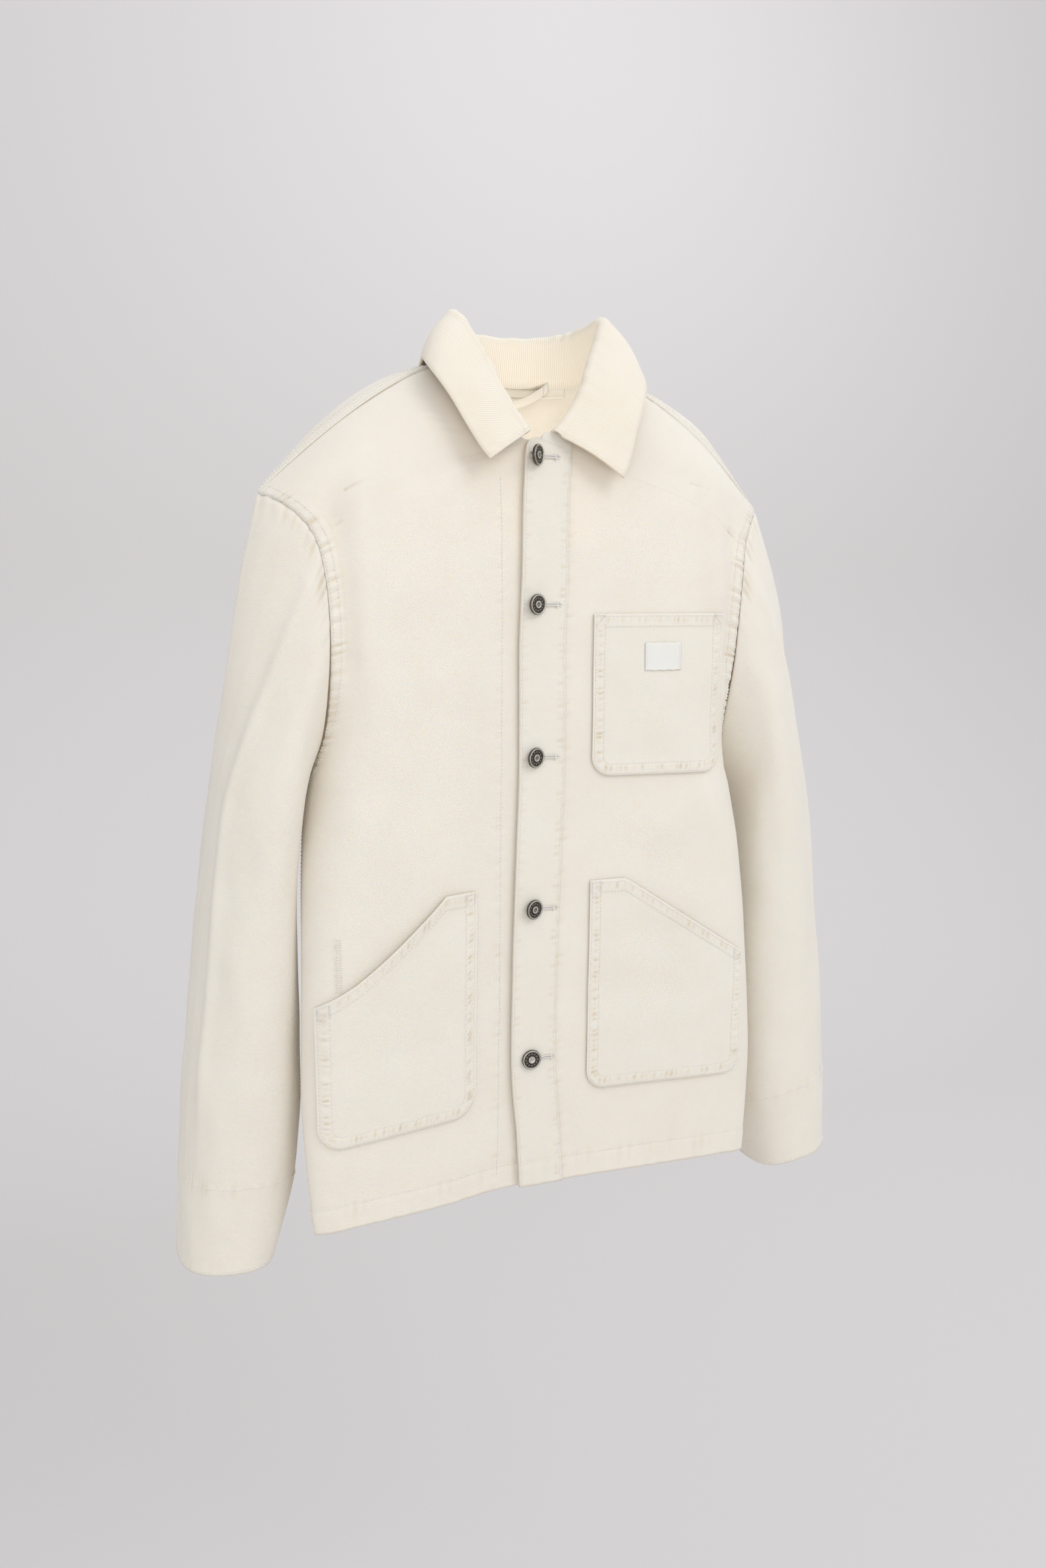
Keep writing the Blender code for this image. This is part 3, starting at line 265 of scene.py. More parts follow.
def read_side(cut, at):
    """The outer end of a panel's rows: the side seam up to the underarm, then the armhole."""
    knots = rows_of(cut)
    low, high = knots[: UNDERARM + 1], knots[UNDERARM:]
    found = []
    for name in ("x_side", "y_side", "z_side"):
        seam = curve(low, cut[name][low], np.minimum(at, UNDERARM))
        armhole = curve(high, cut[name][high], np.maximum(at, UNDERARM))
        found.append(np.where(at <= UNDERARM, seam, armhole))
    return found


def unit(vectors):
    """Vectors over their lengths."""
    return vectors / np.maximum(np.linalg.norm(vectors, axis=-1, keepdims=True), 1e-12)


def soft(t):
    """0 to 1 with level ends: 3t2 - 2t3."""
    t = np.clip(t, 0, 1)
    return t * t * (3 - 2 * t)


def leaned(points):
    """The body leans a little as it hangs: points moved aside by 0.009 of their height."""
    return points + points[..., 2:3] * np.array([BODY_LEAN, 0, 0])


def bell(t, middle, width):
    """1 at the middle, falling away on both sides: exp(-((t - middle) / width)^2)."""
    return np.exp(-(((t - middle) / width) ** 2))


def ridges(across, up, folds, scale=1.0):
    """Height of soft folds: rise exp(-(off / width)^2) for off the distance from a straight
    line (a0, b0) to (a1, b1), faded over its end thirds."""
    height = np.zeros(np.broadcast(across, up).shape)
    for a0, b0, a1, b1, width, rise in folds:
        line = np.array([a1 - a0, (b1 - b0) * scale])
        length = np.hypot(*line)
        line /= length
        da, db = across - a0, (up - b0) * scale
        along = (da * line[0] + db * line[1]) / length
        off = da * line[1] - db * line[0]
        ends = np.clip(np.minimum(along, 1 - along) / 0.3 + 0.5, 0, 1)
        height = height + rise * bell(off, 0, width) * ends**2 * (3 - 2 * ends)
    return height


def neck_point(at, part):
    """Points round the wearer's left half of the neck, and how far its front end lies aside."""
    columns = [part + "_x", part + "_y", part + "_z", "edge_aside" if part == "edge" else "aside"]
    x, y, z, aside = read(neck_cut, at, *columns)
    return np.stack([x, y, z], -1), aside


def shoulder_point(along):
    """The shoulder seam, from the side neck 0 to the sleeve 1: it falls as along^1.4."""
    start, _ = neck_point(SIDE_NECK, "seam")
    end = np.array([front_cut[name][-1] for name in ("x_side", "y_side", "z_side")])
    points = start + (end - start) * along[..., None]
    points[..., 2] = start[2] + (end[2] - start[2]) * along**1.4
    points[..., 1] -= 0.008 * np.sin(math.pi * along)
    return points


def front_edge(side, row):
    """The inner end of a front's rows: its free edge, its top edge, then the neck."""
    z, y, over = read(front_cut, np.minimum(row, EDGE_TOP), "z_edge", "y_edge", "over")
    x = over if side == "left" else np.full_like(z, -0.0007)
    edge = np.stack([x, y, z], -1)
    round_neck = np.clip((row - NECK_START) / (FRONT_TOP - NECK_START), 0, 1) * SIDE_NECK
    neck, aside = neck_point(round_neck, "seam")
    neck[..., 0] += aside * (1 if side == "left" else -1)
    top = np.clip(row - EDGE_TOP, 0, 1)[..., None]
    return np.where(row[..., None] <= NECK_START, edge + (neck - edge) * top, neck)


def tuck(row):
    """How much closer to the middle the right side hangs than the left, at a row."""
    return curve(range(len(right_tuck)), right_tuck, np.minimum(row, len(right_tuck) - 1))


def front_plain(side, u, row):
    """A front with no folds, on the wearer's left. A row runs flat to u = 0.6, then round an
    elliptical corner: x = corner sin(b) / sin(b1), depth = (1 - cos(b)) / (1 - cos(b1))."""
    u, row = np.broadcast_arrays(np.asarray(u, float), np.asarray(row, float))
    y_flat, corner, turn = read(front_cut, row, "y_flat", "corner", "turn")
    x_side, y_side, z_side = read_side(front_cut, row)
    if side == "right":
        x_side = x_side - tuck(row)
    edge = front_edge(side, row)
    x_edge, y_edge, z_edge = edge[..., 0], edge[..., 1], edge[..., 2]
    x_corner = x_side - corner
    flat = np.clip(u / FRONT_FLAT, 0, 1)
    bend = np.clip((u - FRONT_FLAT) / (1 - FRONT_FLAT), 0, 1) * math.pi / 2 * turn
    across = np.sin(bend) / np.sin(math.pi / 2 * turn)
    depth = (1 - np.cos(bend)) / (1 - np.cos(math.pi / 2 * turn))
    x = np.where(u < FRONT_FLAT, x_edge + (x_corner - x_edge) * flat, x_corner + corner * across)
    y = y_edge + (y_flat - y_edge) * soft(flat) + (y_side - y_flat) * depth
    z = z_edge + (z_side - z_edge) * u**1.25
    if side == "right":
        # The strip under the left front's band lies 4.5 mm further in.
        below = np.clip(NECK_START + 0.5 - row, 0, 1)
        y = y + 0.0045 * soft((0.095 - (x - x_edge)) / 0.05) * below
    points = np.stack([x, y, z], -1)
    # The last row is drawn from where the table leaves it to the shoulder seam.
    top, _ = np.broadcast_arrays(shoulder_point(u), points)
    last = np.stack(
        [
            np.where(u < FRONT_FLAT, 0.079 + 0.097 * flat, 0.176 + 0.060 * across),
            0.010 - 0.002 * depth,
            0.005 - 0.109 * u**1.25,
        ],
        -1,
    )
    near_top = np.clip((row - EDGE_TOP) / (FRONT_TOP - EDGE_TOP), 0, 1)[..., None] ** 2
    return points + (top - last) * near_top


def normals_of(sheet, u, row, u_range, row_range, step=1e-3):
    """Unit normals of a sheet: the cross product of its slopes along u and along its rows."""
    du = sheet(np.minimum(u + step, u_range[1]), row) - sheet(np.maximum(u - step, u_range[0]), row)
    on, back = np.minimum(row + step, row_range[1]), np.maximum(row - step, row_range[0])
    return unit(np.cross(du, sheet(u, on) - sheet(u, back)))


def front_net(side, u, row):
    """A front with its large folds raised along its normal, where it hangs on the jacket."""
    u, row = np.broadcast_arrays(np.asarray(u, float), np.asarray(row, float))
    plain = front_plain(side, u, row)
    normal = normals_of(partial(front_plain, side), u, row, (0, 1), (0, FRONT_TOP))
    fade = np.clip((1 - u) / 0.08, 0, 1) * np.clip(u / 0.2, 0, 1)
    fade = fade * np.clip((FRONT_TOP - row) / 2, 0, 1)
    rise = ridges(plain[..., 0], plain[..., 2], front_folds[side]) * fade
    points = plain + normal * rise[..., None]
    return leaned(points * [-1, 1, 1] if side == "right" else points)


def ripples(along, pitch, seed):
    """Uneven ripples of about one pitch: sin(w + 1.9 sin(w / 5.3)) (0.62 + 0.38 sin(w / 3.1)),
    with w = 2 pi along / pitch."""
    w = 2 * math.pi * along / pitch
    wander = 1.9 * np.sin(w / 5.3 + seed) + 0.8 * np.sin(w / 2.3 + 2.1 * seed)
    return np.sin(w + wander) * (0.62 + 0.38 * np.sin(w / 3.1 + 1.7 * seed))


def swell(a, b, seed, size=0.05):
    """Slow unevenness of hanging cloth, -1 to 1: five crossing waves about size apart."""
    total = 0.0
    for n in range(5):
        turn = seed * 1.7 + n * 2.399
        w = 2 * math.pi / (size * (0.8 + 0.23 * n))
        total = total + np.sin(w * (a * math.cos(turn) + b * math.sin(turn)) + seed + 1.3 * n)
    return total / 5


def run_length(points):
    """Length along a run of points from its first."""
    return np.append(0, np.linalg.norm(np.diff(points, axis=0), axis=-1).cumsum())


def sewn_edge(to_side, on_arm, round_arm, rise, pitch, seed):
    """Beside a sewn edge the cloth gathers where on_arm is 1, and it is sunk along the seam."""
    gathers = rise * on_arm * ripples(round_arm, pitch, seed) * bell(to_side, 0.005, 0.0065)
    return gathers - 0.0009 * bell(to_side, 0, 0.0022)


def turned_hem(from_hem, x, pitch, seed):
    """A hem is half a millimetre thicker up to its fold, and ripples under its stitches."""
    fold = 0.0005 * soft((HEM_FOLD - from_hem) / 0.0015)
    return fold + 0.0005 * ripples(x, pitch, seed) * bell(from_hem, 0.016, 0.010)


def front_relief(side, u, row):
    """What the seams and the making add to a front, as a height over its net: the sewn edge, the
    hem with its sunk stitches, ripples beside the band, and the cloth's slow swell."""
    plain = front_plain(side, u, row)
    x, z = plain[..., 0], plain[..., 2]
    seed = 1.0 if side == "right" else 2.6
    end, before = front_plain(side, 1.0 + 0 * u, row), front_plain(side, 0.94 + 0 * u, row)
    to_side = (1 - u) / 0.06 * np.linalg.norm(end - before, axis=-1)
    steps = np.linspace(UNDERARM, FRONT_TOP, 120)
    round_arm = np.interp(row, steps, run_length(front_plain(side, np.ones_like(steps), steps)))
    on_arm = soft((row - UNDERARM) / 0.6) * soft((FRONT_TOP + 0.2 - row) / 0.8)
    from_hem = z - front_plain(side, u, 0 * row)[..., 2]
    inner = x - front_edge(side, row)[..., 0]
    to_band = inner - (BAND_WIDTH if side == "left" else UNDER_BAND)
    return (
        sewn_edge(to_side, on_arm, round_arm, 0.0011, 0.0085, seed)
        + turned_hem(from_hem, x, 0.013, seed + 2)
        - 0.0006 * bell(from_hem, HEM_STITCH, 0.0020)
        + 0.0004 * ripples(x, 0.021, seed + 3) * bell(from_hem, 0, 0.010)
        + 0.0004 * ripples(z, 0.012, seed + 4) * bell(to_band, 0.002, 0.005)
        + 0.0009 * swell(x, z, seed, 0.085) * soft(inner / 0.06) * soft(to_side / 0.03)
    )


def top_lift(side, u, row):
    """The left front's top corner stands 8 mm higher than its net, above its last 6 mm."""
    rise = 0.008 * np.clip((row - 9.88) / 0.12, 0, 1) * np.clip(1 - u / 0.22, 0, 1)
    return rise * np.clip(1 - (row - NECK_START) / 0.5, 0, 1) * (side == "left")


def front_surface(side, u, row):
    """A front as it shows, and its outward normals."""
    u, row = np.broadcast_arrays(np.asarray(u, float), np.asarray(row, float))
    normal = normals_of(partial(front_net, side), u, row, (0, 1), (0, FRONT_TOP))
    if side == "right":
        normal = -normal
    points = front_net(side, u, row) + normal * front_relief(side, u, row)[..., None]
    points[..., 2] += top_lift(side, u, row)
    return points, normal


def trim(points, closed=False):
    """Draws a sheet's edges in by half the gap of a seam."""
    points = points.copy()
    edges = [(np.s_[:, 0], np.s_[:, 1]), (np.s_[:, -1], np.s_[:, -2])]
    if not closed:
        edges += [(np.s_[0], np.s_[1]), (np.s_[-1], np.s_[-2])]
    for edge, inside in edges:
        points[edge] += unit(points[inside] - points[edge]) * SEAM_GAP / 2
    return points


def lengths(points, axis):
    """Length along a grid's lines from their first point."""
    step = np.linalg.norm(np.diff(points, axis=axis), axis=-1)
    start = np.zeros_like(np.take(step, [0], axis))
    return np.concatenate([start, step], axis).cumsum(axis)


def laid_flat(points):
    """A grid's own lengths, across and up, as its UV map."""
    return np.stack([lengths(points, 0), lengths(points, 1)], -1)


def outwards(side, *grids):
    """A right-hand piece's grids turned end for end, so that its faces point outwards."""
    return [grid[::-1] if side == "right" else grid for grid in grids]


def hollows(points, closed):
    """How deep each point lies in a crease: its depth below the middle of its neighbours, across
    and up, along the surface's normal. The twill's colour is darkened there as painted shade."""
    if closed:
        points = np.concatenate([points[-1:], points, points[:1]])
    normal = unit(np.cross(np.gradient(points, axis=0), np.gradient(points, axis=1)))
    depth = np.zeros(points.shape[:2])
    sunk = (points[2:] + points[:-2]) / 2 - points[1:-1]
    depth[1:-1] += np.sum(sunk * normal[1:-1], -1).clip(0)
    sunk = (points[:, 2:] + points[:, :-2]) / 2 - points[:, 1:-1]
    depth[:, 1:-1] += np.sum(sunk * normal[:, 1:-1], -1).clip(0)
    return depth[1:-1] if closed else depth


def mark(piece, name, values):
    """Keeps a number for each point of a piece as an attribute, which its material reads."""
    layer = piece.data.attributes.new(name, "FLOAT", "POINT")
    layer.data.foreach_set("value", np.ascontiguousarray(values, np.float32).reshape(-1))


def cut_piece(
    name, points, uv, node, cloth, slot="twill", wall=TWILL_WALL, closed=False, deep=None, **sheet
):
    """A piece of cloth from its grid. Its wall grows inwards from its face. With deep, the depth
    of a full crease, its hollows are marked. The rest, on how the sheet is cut and held, is not
    used."""
    piece = grid_mesh(name, points, closed, uv)
    # With deep, the hollows are marked for the twill, which darkens them as painted shade.
    if deep:
        mark(piece, "hollow", hollows(points, closed) / deep)
    thick = piece.modifiers.new("wall", "SOLIDIFY")
    thick.thickness, thick.offset, thick.use_even_offset = wall, -1.0, False
    piece.data.materials.append(cloth)
    if node:
        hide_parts(node)
    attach(piece, "root")


def noise(tree, source, scale, detail=2.0, roughness=0.5):
    """A cloudy texture over a source of coordinates."""
    cloud = tree.nodes.new("ShaderNodeTexNoise")
    for socket, value in (("Scale", scale), ("Detail", detail), ("Roughness", roughness)):
        cloud.inputs[socket].default_value = value
    tree.links.new(source, cloud.inputs["Vector"])
    return cloud


def ramp(tree, source, low, high, start=0.0, end=1.0):
    """A colour that runs from low at start to high at end of its source."""
    made = tree.nodes.new("ShaderNodeValToRGB")
    for stop, colour, place in zip(made.color_ramp.elements, (low, high), (start, end)):
        stop.color, stop.position = (*colour, 1), place
    tree.links.new(source, made.inputs["Fac"])
    return made.outputs["Color"]


def cloth_material(name, light, dark, roughness, sheen):
    """A new material, its nodes, its shader, its coordinates, and a cloth colour that wanders
    slowly between two tones."""
    made, tree, shader = shaded(
        name,
        {
            "Roughness": roughness, "Specular IOR Level": 0.25, "Sheen Weight": sheen,
            "Sheen Roughness": 0.6, "Subsurface Weight": 0.3,
            "Subsurface Radius": (1.0, 0.72, 0.45), "Subsurface Scale": 0.0025,
        },
    )
    place = tree.nodes.new("ShaderNodeTexCoord").outputs
    cloud = noise(tree, place["Object"], 22.0, 6.0, 0.62)
    tone = ramp(tree, cloud.outputs["Fac"], dark, light, 0.32, 0.68)
    return made, tree, shader, place, tone


def bands(tree, place, turn, pitch, wobble=0.0):
    """Even lines at a pitch on the cut's own plane, turned by an angle: the wave texture's
    phase is 20 x scale x distance, so the scale is 2 pi / (20 pitch)."""
    lie = tree.nodes.new("ShaderNodeMapping")
    lie.inputs["Rotation"].default_value = (0, 0, turn)
    wave = tree.nodes.new("ShaderNodeTexWave")
    wave.inputs["Scale"].default_value = 2 * math.pi / (20 * pitch)
    wave.inputs["Distortion"].default_value = wobble
    wave.inputs["Detail Scale"].default_value = 0.4
    tree.links.new(place["UV"], lie.inputs["Vector"])
    tree.links.new(lie.outputs["Vector"], wave.inputs["Vector"])
    return wave.outputs["Color"]


def mixed(tree, kind, factor, a, b):
    """A colour mix of one kind."""
    mix = tree.nodes.new("ShaderNodeMix")
    mix.data_type, mix.blend_type = "RGBA", kind
    mix.inputs[0].default_value = factor
    tree.links.new(a, mix.inputs[6])
    tree.links.new(b, mix.inputs[7])
    return mix.outputs[2]


def raise_nap(tree, shader, height, strength, distance):
    """Bump on a shader from a height."""
    nap = tree.nodes.new("ShaderNodeBump")
    nap.inputs["Strength"].default_value = strength
    nap.inputs["Distance"].default_value = distance
    tree.links.new(height, nap.inputs["Height"])
    tree.links.new(nap.outputs["Normal"], shader.inputs["Normal"])


twill, tree, shader, place, tone = cloth_material(
    "ecru_twill", (0.828, 0.770, 0.670), (0.806, 0.742, 0.634), 0.88, 0.12
)
wale = bands(tree, place, math.radians(58), 0.00105, 0.6)
weft = bands(tree, place, math.radians(90), 0.00062, 1.2)
slub = noise(tree, place["UV"], 420.0, 3.0).outputs["Color"]
weave = mixed(tree, "MIX", 0.3, mixed(tree, "MIX", 0.35, wale, weft), slub)
shade = ramp(tree, weave, (0.87, 0.85, 0.81), (1, 1, 1), end=0.6)
woven_tone = mixed(tree, "MULTIPLY", 0.75, tone, shade)
# Painted shade: the colour is darkened and warmed in the marked hollows, where folds and creases
# hold shade.
hollow = tree.nodes.new("ShaderNodeAttribute")
hollow.attribute_name = "hollow"
crease = ramp(tree, hollow.outputs["Fac"], (1, 1, 1), (0.90, 0.84, 0.745), start=0.06)
colour = mixed(tree, "MULTIPLY", 1.0, woven_tone, crease)
tree.links.new(colour, shader.inputs["Base Color"])
raise_nap(tree, shader, weave, 0.55, 0.00022)

thread, tree, shader, _, tone = cloth_material(
    "ecru_thread", (0.885, 0.83, 0.735), (0.86, 0.80, 0.70), 0.75, 0.1
)
tree.links.new(tone, shader.inputs["Base Color"])


def along_run(points, normals, pitch=0.0032, filled=0.76, first=0.1):
    """Stitches down a run of points: starts and ends at an even pitch along its length, each
    stitch filling a share of it, with the cloth's normal at its middle."""
    length = run_length(points)
    begin = (np.arange(int(length[-1] / pitch - first)) + first) * pitch

    def at(rows, where):
        """Rows of a list at lengths along the run."""
        return np.stack([np.interp(where, length, rows[:, k]) for k in range(3)], -1)

    middle = unit(at(normals, begin + filled * pitch / 2))
    return at(points, begin), at(points, begin + filled * pitch), middle


def sew(name, stitches, thick=0.00042):
    """Thread on the cloth: every stitch is a four-sided spindle from its start to its end. Its
    four rings are 0.4, 1, 1, 0.4 of full thickness, and the middle two stand 0.5 of it high."""
    starts, ends, normals = (np.concatenate(part) for part in zip(*stitches))
    forward = unit(ends - starts)
    aside = unit(np.cross(normals, forward))
    up = np.cross(forward, aside)
    rings = np.array([0.0, 0.28, 0.72, 1.0])
    girth = thick * np.array([0.4, 1.0, 1.0, 0.4])
    middle = starts[:, None] + (ends - starts)[:, None] * rings[:, None]
    middle = middle + up[:, None] * (thick * np.array([0.0, 0.5, 0.5, 0.0]))[:, None]
    turn = np.radians([45, 135, 225, 315])
    ring = aside[:, None, None] * np.cos(turn)[:, None] + up[:, None, None] * np.sin(turn)[:, None]
    points = middle[:, :, None] + ring * girth[:, None, None]
    r, k = np.arange(3)[:, None], np.arange(4)[None, :]
    n = (k + 1) % 4
    walls = np.stack([r * 4 + k, r * 4 + n, r * 4 + 4 + n, r * 4 + 4 + k], -1).reshape(-1)
    one = np.concatenate([walls, [3, 2, 1, 0], [12, 13, 14, 15]])
    corners = (np.arange(len(starts))[:, None] * 16 + one).reshape(-1)
    piece = quad_mesh(name, points.reshape(-1, 3), corners)
    piece.data.materials.append(thread)
    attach(piece, "root")


def inset(sheet, end, row, distance):
    """The place on a row at a distance from its outer end, as a share of the row."""
    reach = np.linalg.norm(sheet(end + 0 * row, row) - sheet(0.94 * end + 0 * row, row), axis=-1)
    return end * (1 - 0.06 * distance / reach)


def hem_row(sheet, u):
    """The rows where a sheet's hem is stitched."""
    rise = sheet(u, 1.0 + 0 * u)[..., 2] - sheet(u, 0 * u)[..., 2]
    return HEM_STITCH / rise


def edge_row(z):
    """The row whose free edge is at a height."""
    return np.interp(z, front_cut["z_edge"][: EDGE_TOP + 1], rows_of(front_cut)[: EDGE_TOP + 1])


edge_heights = np.append(np.linspace(-0.711, -0.066, 233), np.linspace(-0.066, -0.060, 9)[1:])
front_rows = np.concatenate([edge_row(edge_heights), np.linspace(EDGE_TOP, NECK_START, 7)[1:]])
front_rows = np.append(front_rows, np.linspace(NECK_START, FRONT_TOP, 45)[1:])
front_columns = np.concatenate([np.linspace(0, FRONT_FLAT, 79), np.linspace(FRONT_FLAT, 1, 41)[1:]])


def corner_draw(row):
    """How far the left front's rounded top corner draws a row's end in: r - sqrt(r2 - (r - d)2)
    at d below the top, for a radius r of 14 mm, fading out up to the neck."""
    low = row.clip(0, EDGE_TOP)
    below = read(front_cut, EDGE_TOP, "z_edge") - read(front_cut, low, "z_edge")
    below = below + top_lift("left", 0, EDGE_TOP) - top_lift("left", 0, low)
    draw = TOP_CORNER - np.sqrt(TOP_CORNER**2 - (TOP_CORNER - below).clip(0) ** 2)
    return draw * np.clip((NECK_START - row) / (NECK_START - EDGE_TOP), 0, 1)


for side in ("right", "left"):
    u, row = np.broadcast_arrays(front_columns[:, None], front_rows[None, :])
    if side == "left":
        u = u + corner_draw(row) / FRONT_WIDTH * (1 - u) ** 8
    points = trim(front_surface(side, u, row)[0])
    points, uv = outwards(side, points, laid_flat(points))
    name = "front_" + side
    cut_piece(
        name + "_cloth", points, uv, name, twill,
        deep=0.0012, flat=(0.30, 0.78), held="hung", area=0.20,
    )
    # Two rows beside the armhole, one over the hem, and on the right one down the inner strip.
    arm_rows, low_u = np.linspace(UNDERARM, FRONT_TOP, 160), np.linspace(0.002, 0.998, 120)
    plain, surface = partial(front_plain, side), partial(front_surface, side)
    seams = [
        along_run(*surface(inset(plain, 1.0, arm_rows, away), arm_rows)) for away in SEAM_STITCHES
    ]
    seams.append(along_run(*surface(low_u, hem_row(plain, low_u))))
    if side == "right":
        strip = np.linspace(0.3, 9.6, 200)
        inner = plain(0.5 + 0 * strip, strip) - plain(0 * strip, strip)
        seams.append(along_run(*surface(0.5 * UNDER_BAND / inner[..., 0], strip)))
    sew("thread_" + name, seams)


# ---- The back ----
# One piece of the same twill, from side seam to side seam, with the back neck and the shoulders.
# It is hemmed with the fronts, and its shoulder seams are felled and stitched three times.

BACK_TOP = 12

back_cut = table(
    "z_mid   y_mid   x_side  y_side  z_side  round  drop",
    (-0.718, 0.112, 0.2160, -0.034, -0.720, 1.90, 1.6),
    (-0.662, 0.110, 0.2210, -0.030, -0.662, 1.90, 1.6),
    (-0.600, 0.108, 0.2225, -0.026, -0.600, 1.88, 1.6),
    (-0.500, 0.107, 0.2170, -0.019, -0.500, 1.88, 1.6),
    (-0.410, 0.110, 0.2090, -0.008, -0.410, 1.90, 1.6),
    (-0.345, 0.115, 0.1990, 0.0120, -0.345, 1.95, 1.6),
    (-0.285, 0.119, 0.1870, 0.0450, -0.305, 2.05, 1.8),
    (-0.215, 0.122, 0.1840, 0.0700, -0.255, 2.20, 1.9),
    (-0.145, 0.121, 0.1900, 0.0810, -0.205, 2.20, 1.9),
    (-0.082, 0.116, 0.2000, 0.0770, -0.160, 2.10, 1.8),
    (-0.036, 0.107, 0.2150, 0.0580, -0.127, 2.00, 1.7),
    (-0.010, 0.095, 0.2280, 0.0340, -0.110, 2.00, 1.6),
    (0.0040, 0.080, 0.2360, 0.0080, -0.104, 2.00, 1.5),
)
crest_cut = table(
    "at    right   left",
    (0.00, 0.0000, 0.0000),
    (0.15, 0.0012, 0.0025),
    (0.30, 0.0105, 0.0135),
    (0.45, 0.0180, 0.0225),
    (0.60, 0.0190, 0.0275),
    (0.80, 0.0140, 0.0300),
    (1.00, 0.0045, 0.0080),
)
back_folds = (
    (0.165, -0.180, 0.185, -0.330, 0.014, 0.0040),
    (-0.165, -0.180, -0.185, -0.330, 0.014, 0.0040),
    (0.120, -0.660, 0.150, -0.420, 0.020, 0.0030),
    (-0.060, -0.690, -0.100, -0.480, 0.022, 0.0025),
)


def back_section(reach, z_mid, y_mid, x_side, y_side, z_side, power, drop):
    """A row of the back on one side, for reach 0 to 1 and a = reach pi / 2: a rounded oval
    x = x_side sin(a)^(2/p) (1 - 0.2 cos(a)), y = y_side + (y_mid - y_side) cos(a)^(2/p)."""
    angle = reach * math.pi / 2
    x = x_side * np.sin(angle) ** (2 / power) * (1 - 0.2 * np.cos(angle))
    y = y_side + (y_mid - y_side) * np.cos(angle).clip(0) ** (2 / power)
    return np.stack([x, y, z_mid + (z_side - z_mid) * reach**drop], -1)


def top_offset(at):
    """From the back's top section to the neck and shoulder seams that it is sewn to."""
    reach = np.minimum(np.abs(at), 1)
    names = ("z_mid", "y_mid", "x_side", "y_side", "z_side", "round", "drop")
    last = back_section(reach, *(back_cut[name][-1] for name in names))
    neck, _ = neck_point(1 - (1 - SIDE_NECK) * np.clip(reach / NECK_SHARE, 0, 1), "seam")
    along = np.clip((reach - NECK_SHARE) / (1 - NECK_SHARE), 0, 1)
    top = np.where((reach <= NECK_SHARE + 1e-9)[..., None], neck, shoulder_point(along))
    offset = top - last
    offset[..., 0] *= np.where(at < 0, -1, 1)
    return offset


def back_net(u, row):
    """The back with its large folds: u is -1 to 1 from the right side seam to the left."""
    u, row = np.broadcast_arrays(np.asarray(u, float), np.asarray(row, float))
    reach = np.abs(u)
    z_mid, y_mid, power, drop = read(back_cut, row, "z_mid", "y_mid", "round", "drop")
    x_side, y_side, z_side = read_side(back_cut, row)
    x_side = x_side - np.where(u < 0, tuck(row), 0)
    points = back_section(reach, z_mid, y_mid, x_side, y_side, z_side, power, drop)
    below_top = BACK_TOP - row
    blur = 0.18 * np.clip(below_top / 1.5, 0, 1) * np.clip((1 - reach) / 0.3, 0, 1)
    offset = sum(
        share * top_offset(reach + step * blur)
        for step, share in ((-1, 0.12), (-0.5, 0.23), (0, 0.3), (0.5, 0.23), (1, 0.12))
    )
    points = points + offset * np.clip(1 - below_top / 4, 0, 1)[..., None] ** 2
    crest = np.sin(math.pi * np.clip((row - 9) / 3, 0, 1) ** 2.2)
    right, left = read(crest_cut, reach, "right", "left")
    points[..., 2] += crest * np.where(u < 0, right, left)
    spread = np.sin(math.pi * np.clip(below_top / 4, 0, 1) ** 0.6)
    points[..., 0] += 0.016 * spread * bell(reach, 0.27, 0.1)
    points[..., 0] *= np.sign(u)
    outward = unit(points * [1, 1, 0] - [0, -0.03, 0])
    fade = np.clip((1 - reach) / 0.1, 0, 1) * np.clip(below_top / 2, 0, 1)
    rise = ridges(points[..., 0], points[..., 2], back_folds) * fade
    return leaned(points + outward * rise[..., None])


def back_relief(u, row):
    """Height over the back's net: its sewn edges and hem, a raised felled seam 12 mm wide behind
    each shoulder, and the cloth's slow swell."""
    net = back_net(u, row)
    x, z = net[..., 0], net[..., 2]
    sign = np.where(u < 0, -1.0, 1.0)
    end, before = back_net(sign, row), back_net(0.96 * sign, row)
    to_side = (1 - np.abs(u)) / 0.04 * np.linalg.norm(end - before, axis=-1)
    on_arm = soft((row - UNDERARM) / 0.6) * soft((BACK_TOP - row) / 0.8)
    seam, below = back_net(u, BACK_TOP + 0 * row), back_net(u, BACK_TOP - 0.3 + 0 * row)
    to_top = (BACK_TOP - row) / 0.3 * np.linalg.norm(seam - below, axis=-1)
    return (
        sewn_edge(to_side, on_arm, end[..., 2] * 1.25, 0.0008, 0.0090, 3.3)
        + turned_hem(z - back_net(u, 0 * row)[..., 2], x, 0.014, 5.2)
        + 0.0009 * soft((np.abs(u) - NECK_SHARE) / 0.03) * soft((0.0135 - to_top) / 0.0015)
        + 0.0012 * swell(x, z, 4.4, 0.11) * soft(to_side / 0.03) * soft(to_top / 0.03)
    )


def back_surface(u, row):
    """The back as it shows, and its outward normals."""
    u, row = np.broadcast_arrays(np.asarray(u, float), np.asarray(row, float))
    normal = -normals_of(back_net, u, row, (-1, 1), (0, BACK_TOP))
    return back_net(u, row) + normal * back_relief(u, row)[..., None], normal


back_rows = np.interp(np.linspace(-0.718, 0.004, 262), back_cut["z_mid"], rows_of(back_cut))[:-12]
back_rows = np.concatenate([back_rows, np.linspace(back_rows[-1], BACK_TOP, 24)[1:]])
back_half = np.concatenate([np.linspace(0, NECK_SHARE, 25), np.linspace(NECK_SHARE, 1, 62)[1:]])
back_columns = np.concatenate([-back_half[:0:-1], back_half])
points = trim(back_surface(back_columns[:, None], back_rows[None, :])[0])[::-1]
cut_piece(
    "back_cloth", points, laid_flat(points), "back", twill,
    flat=(0.52, 0.76), held="hung", area=0.34,
)

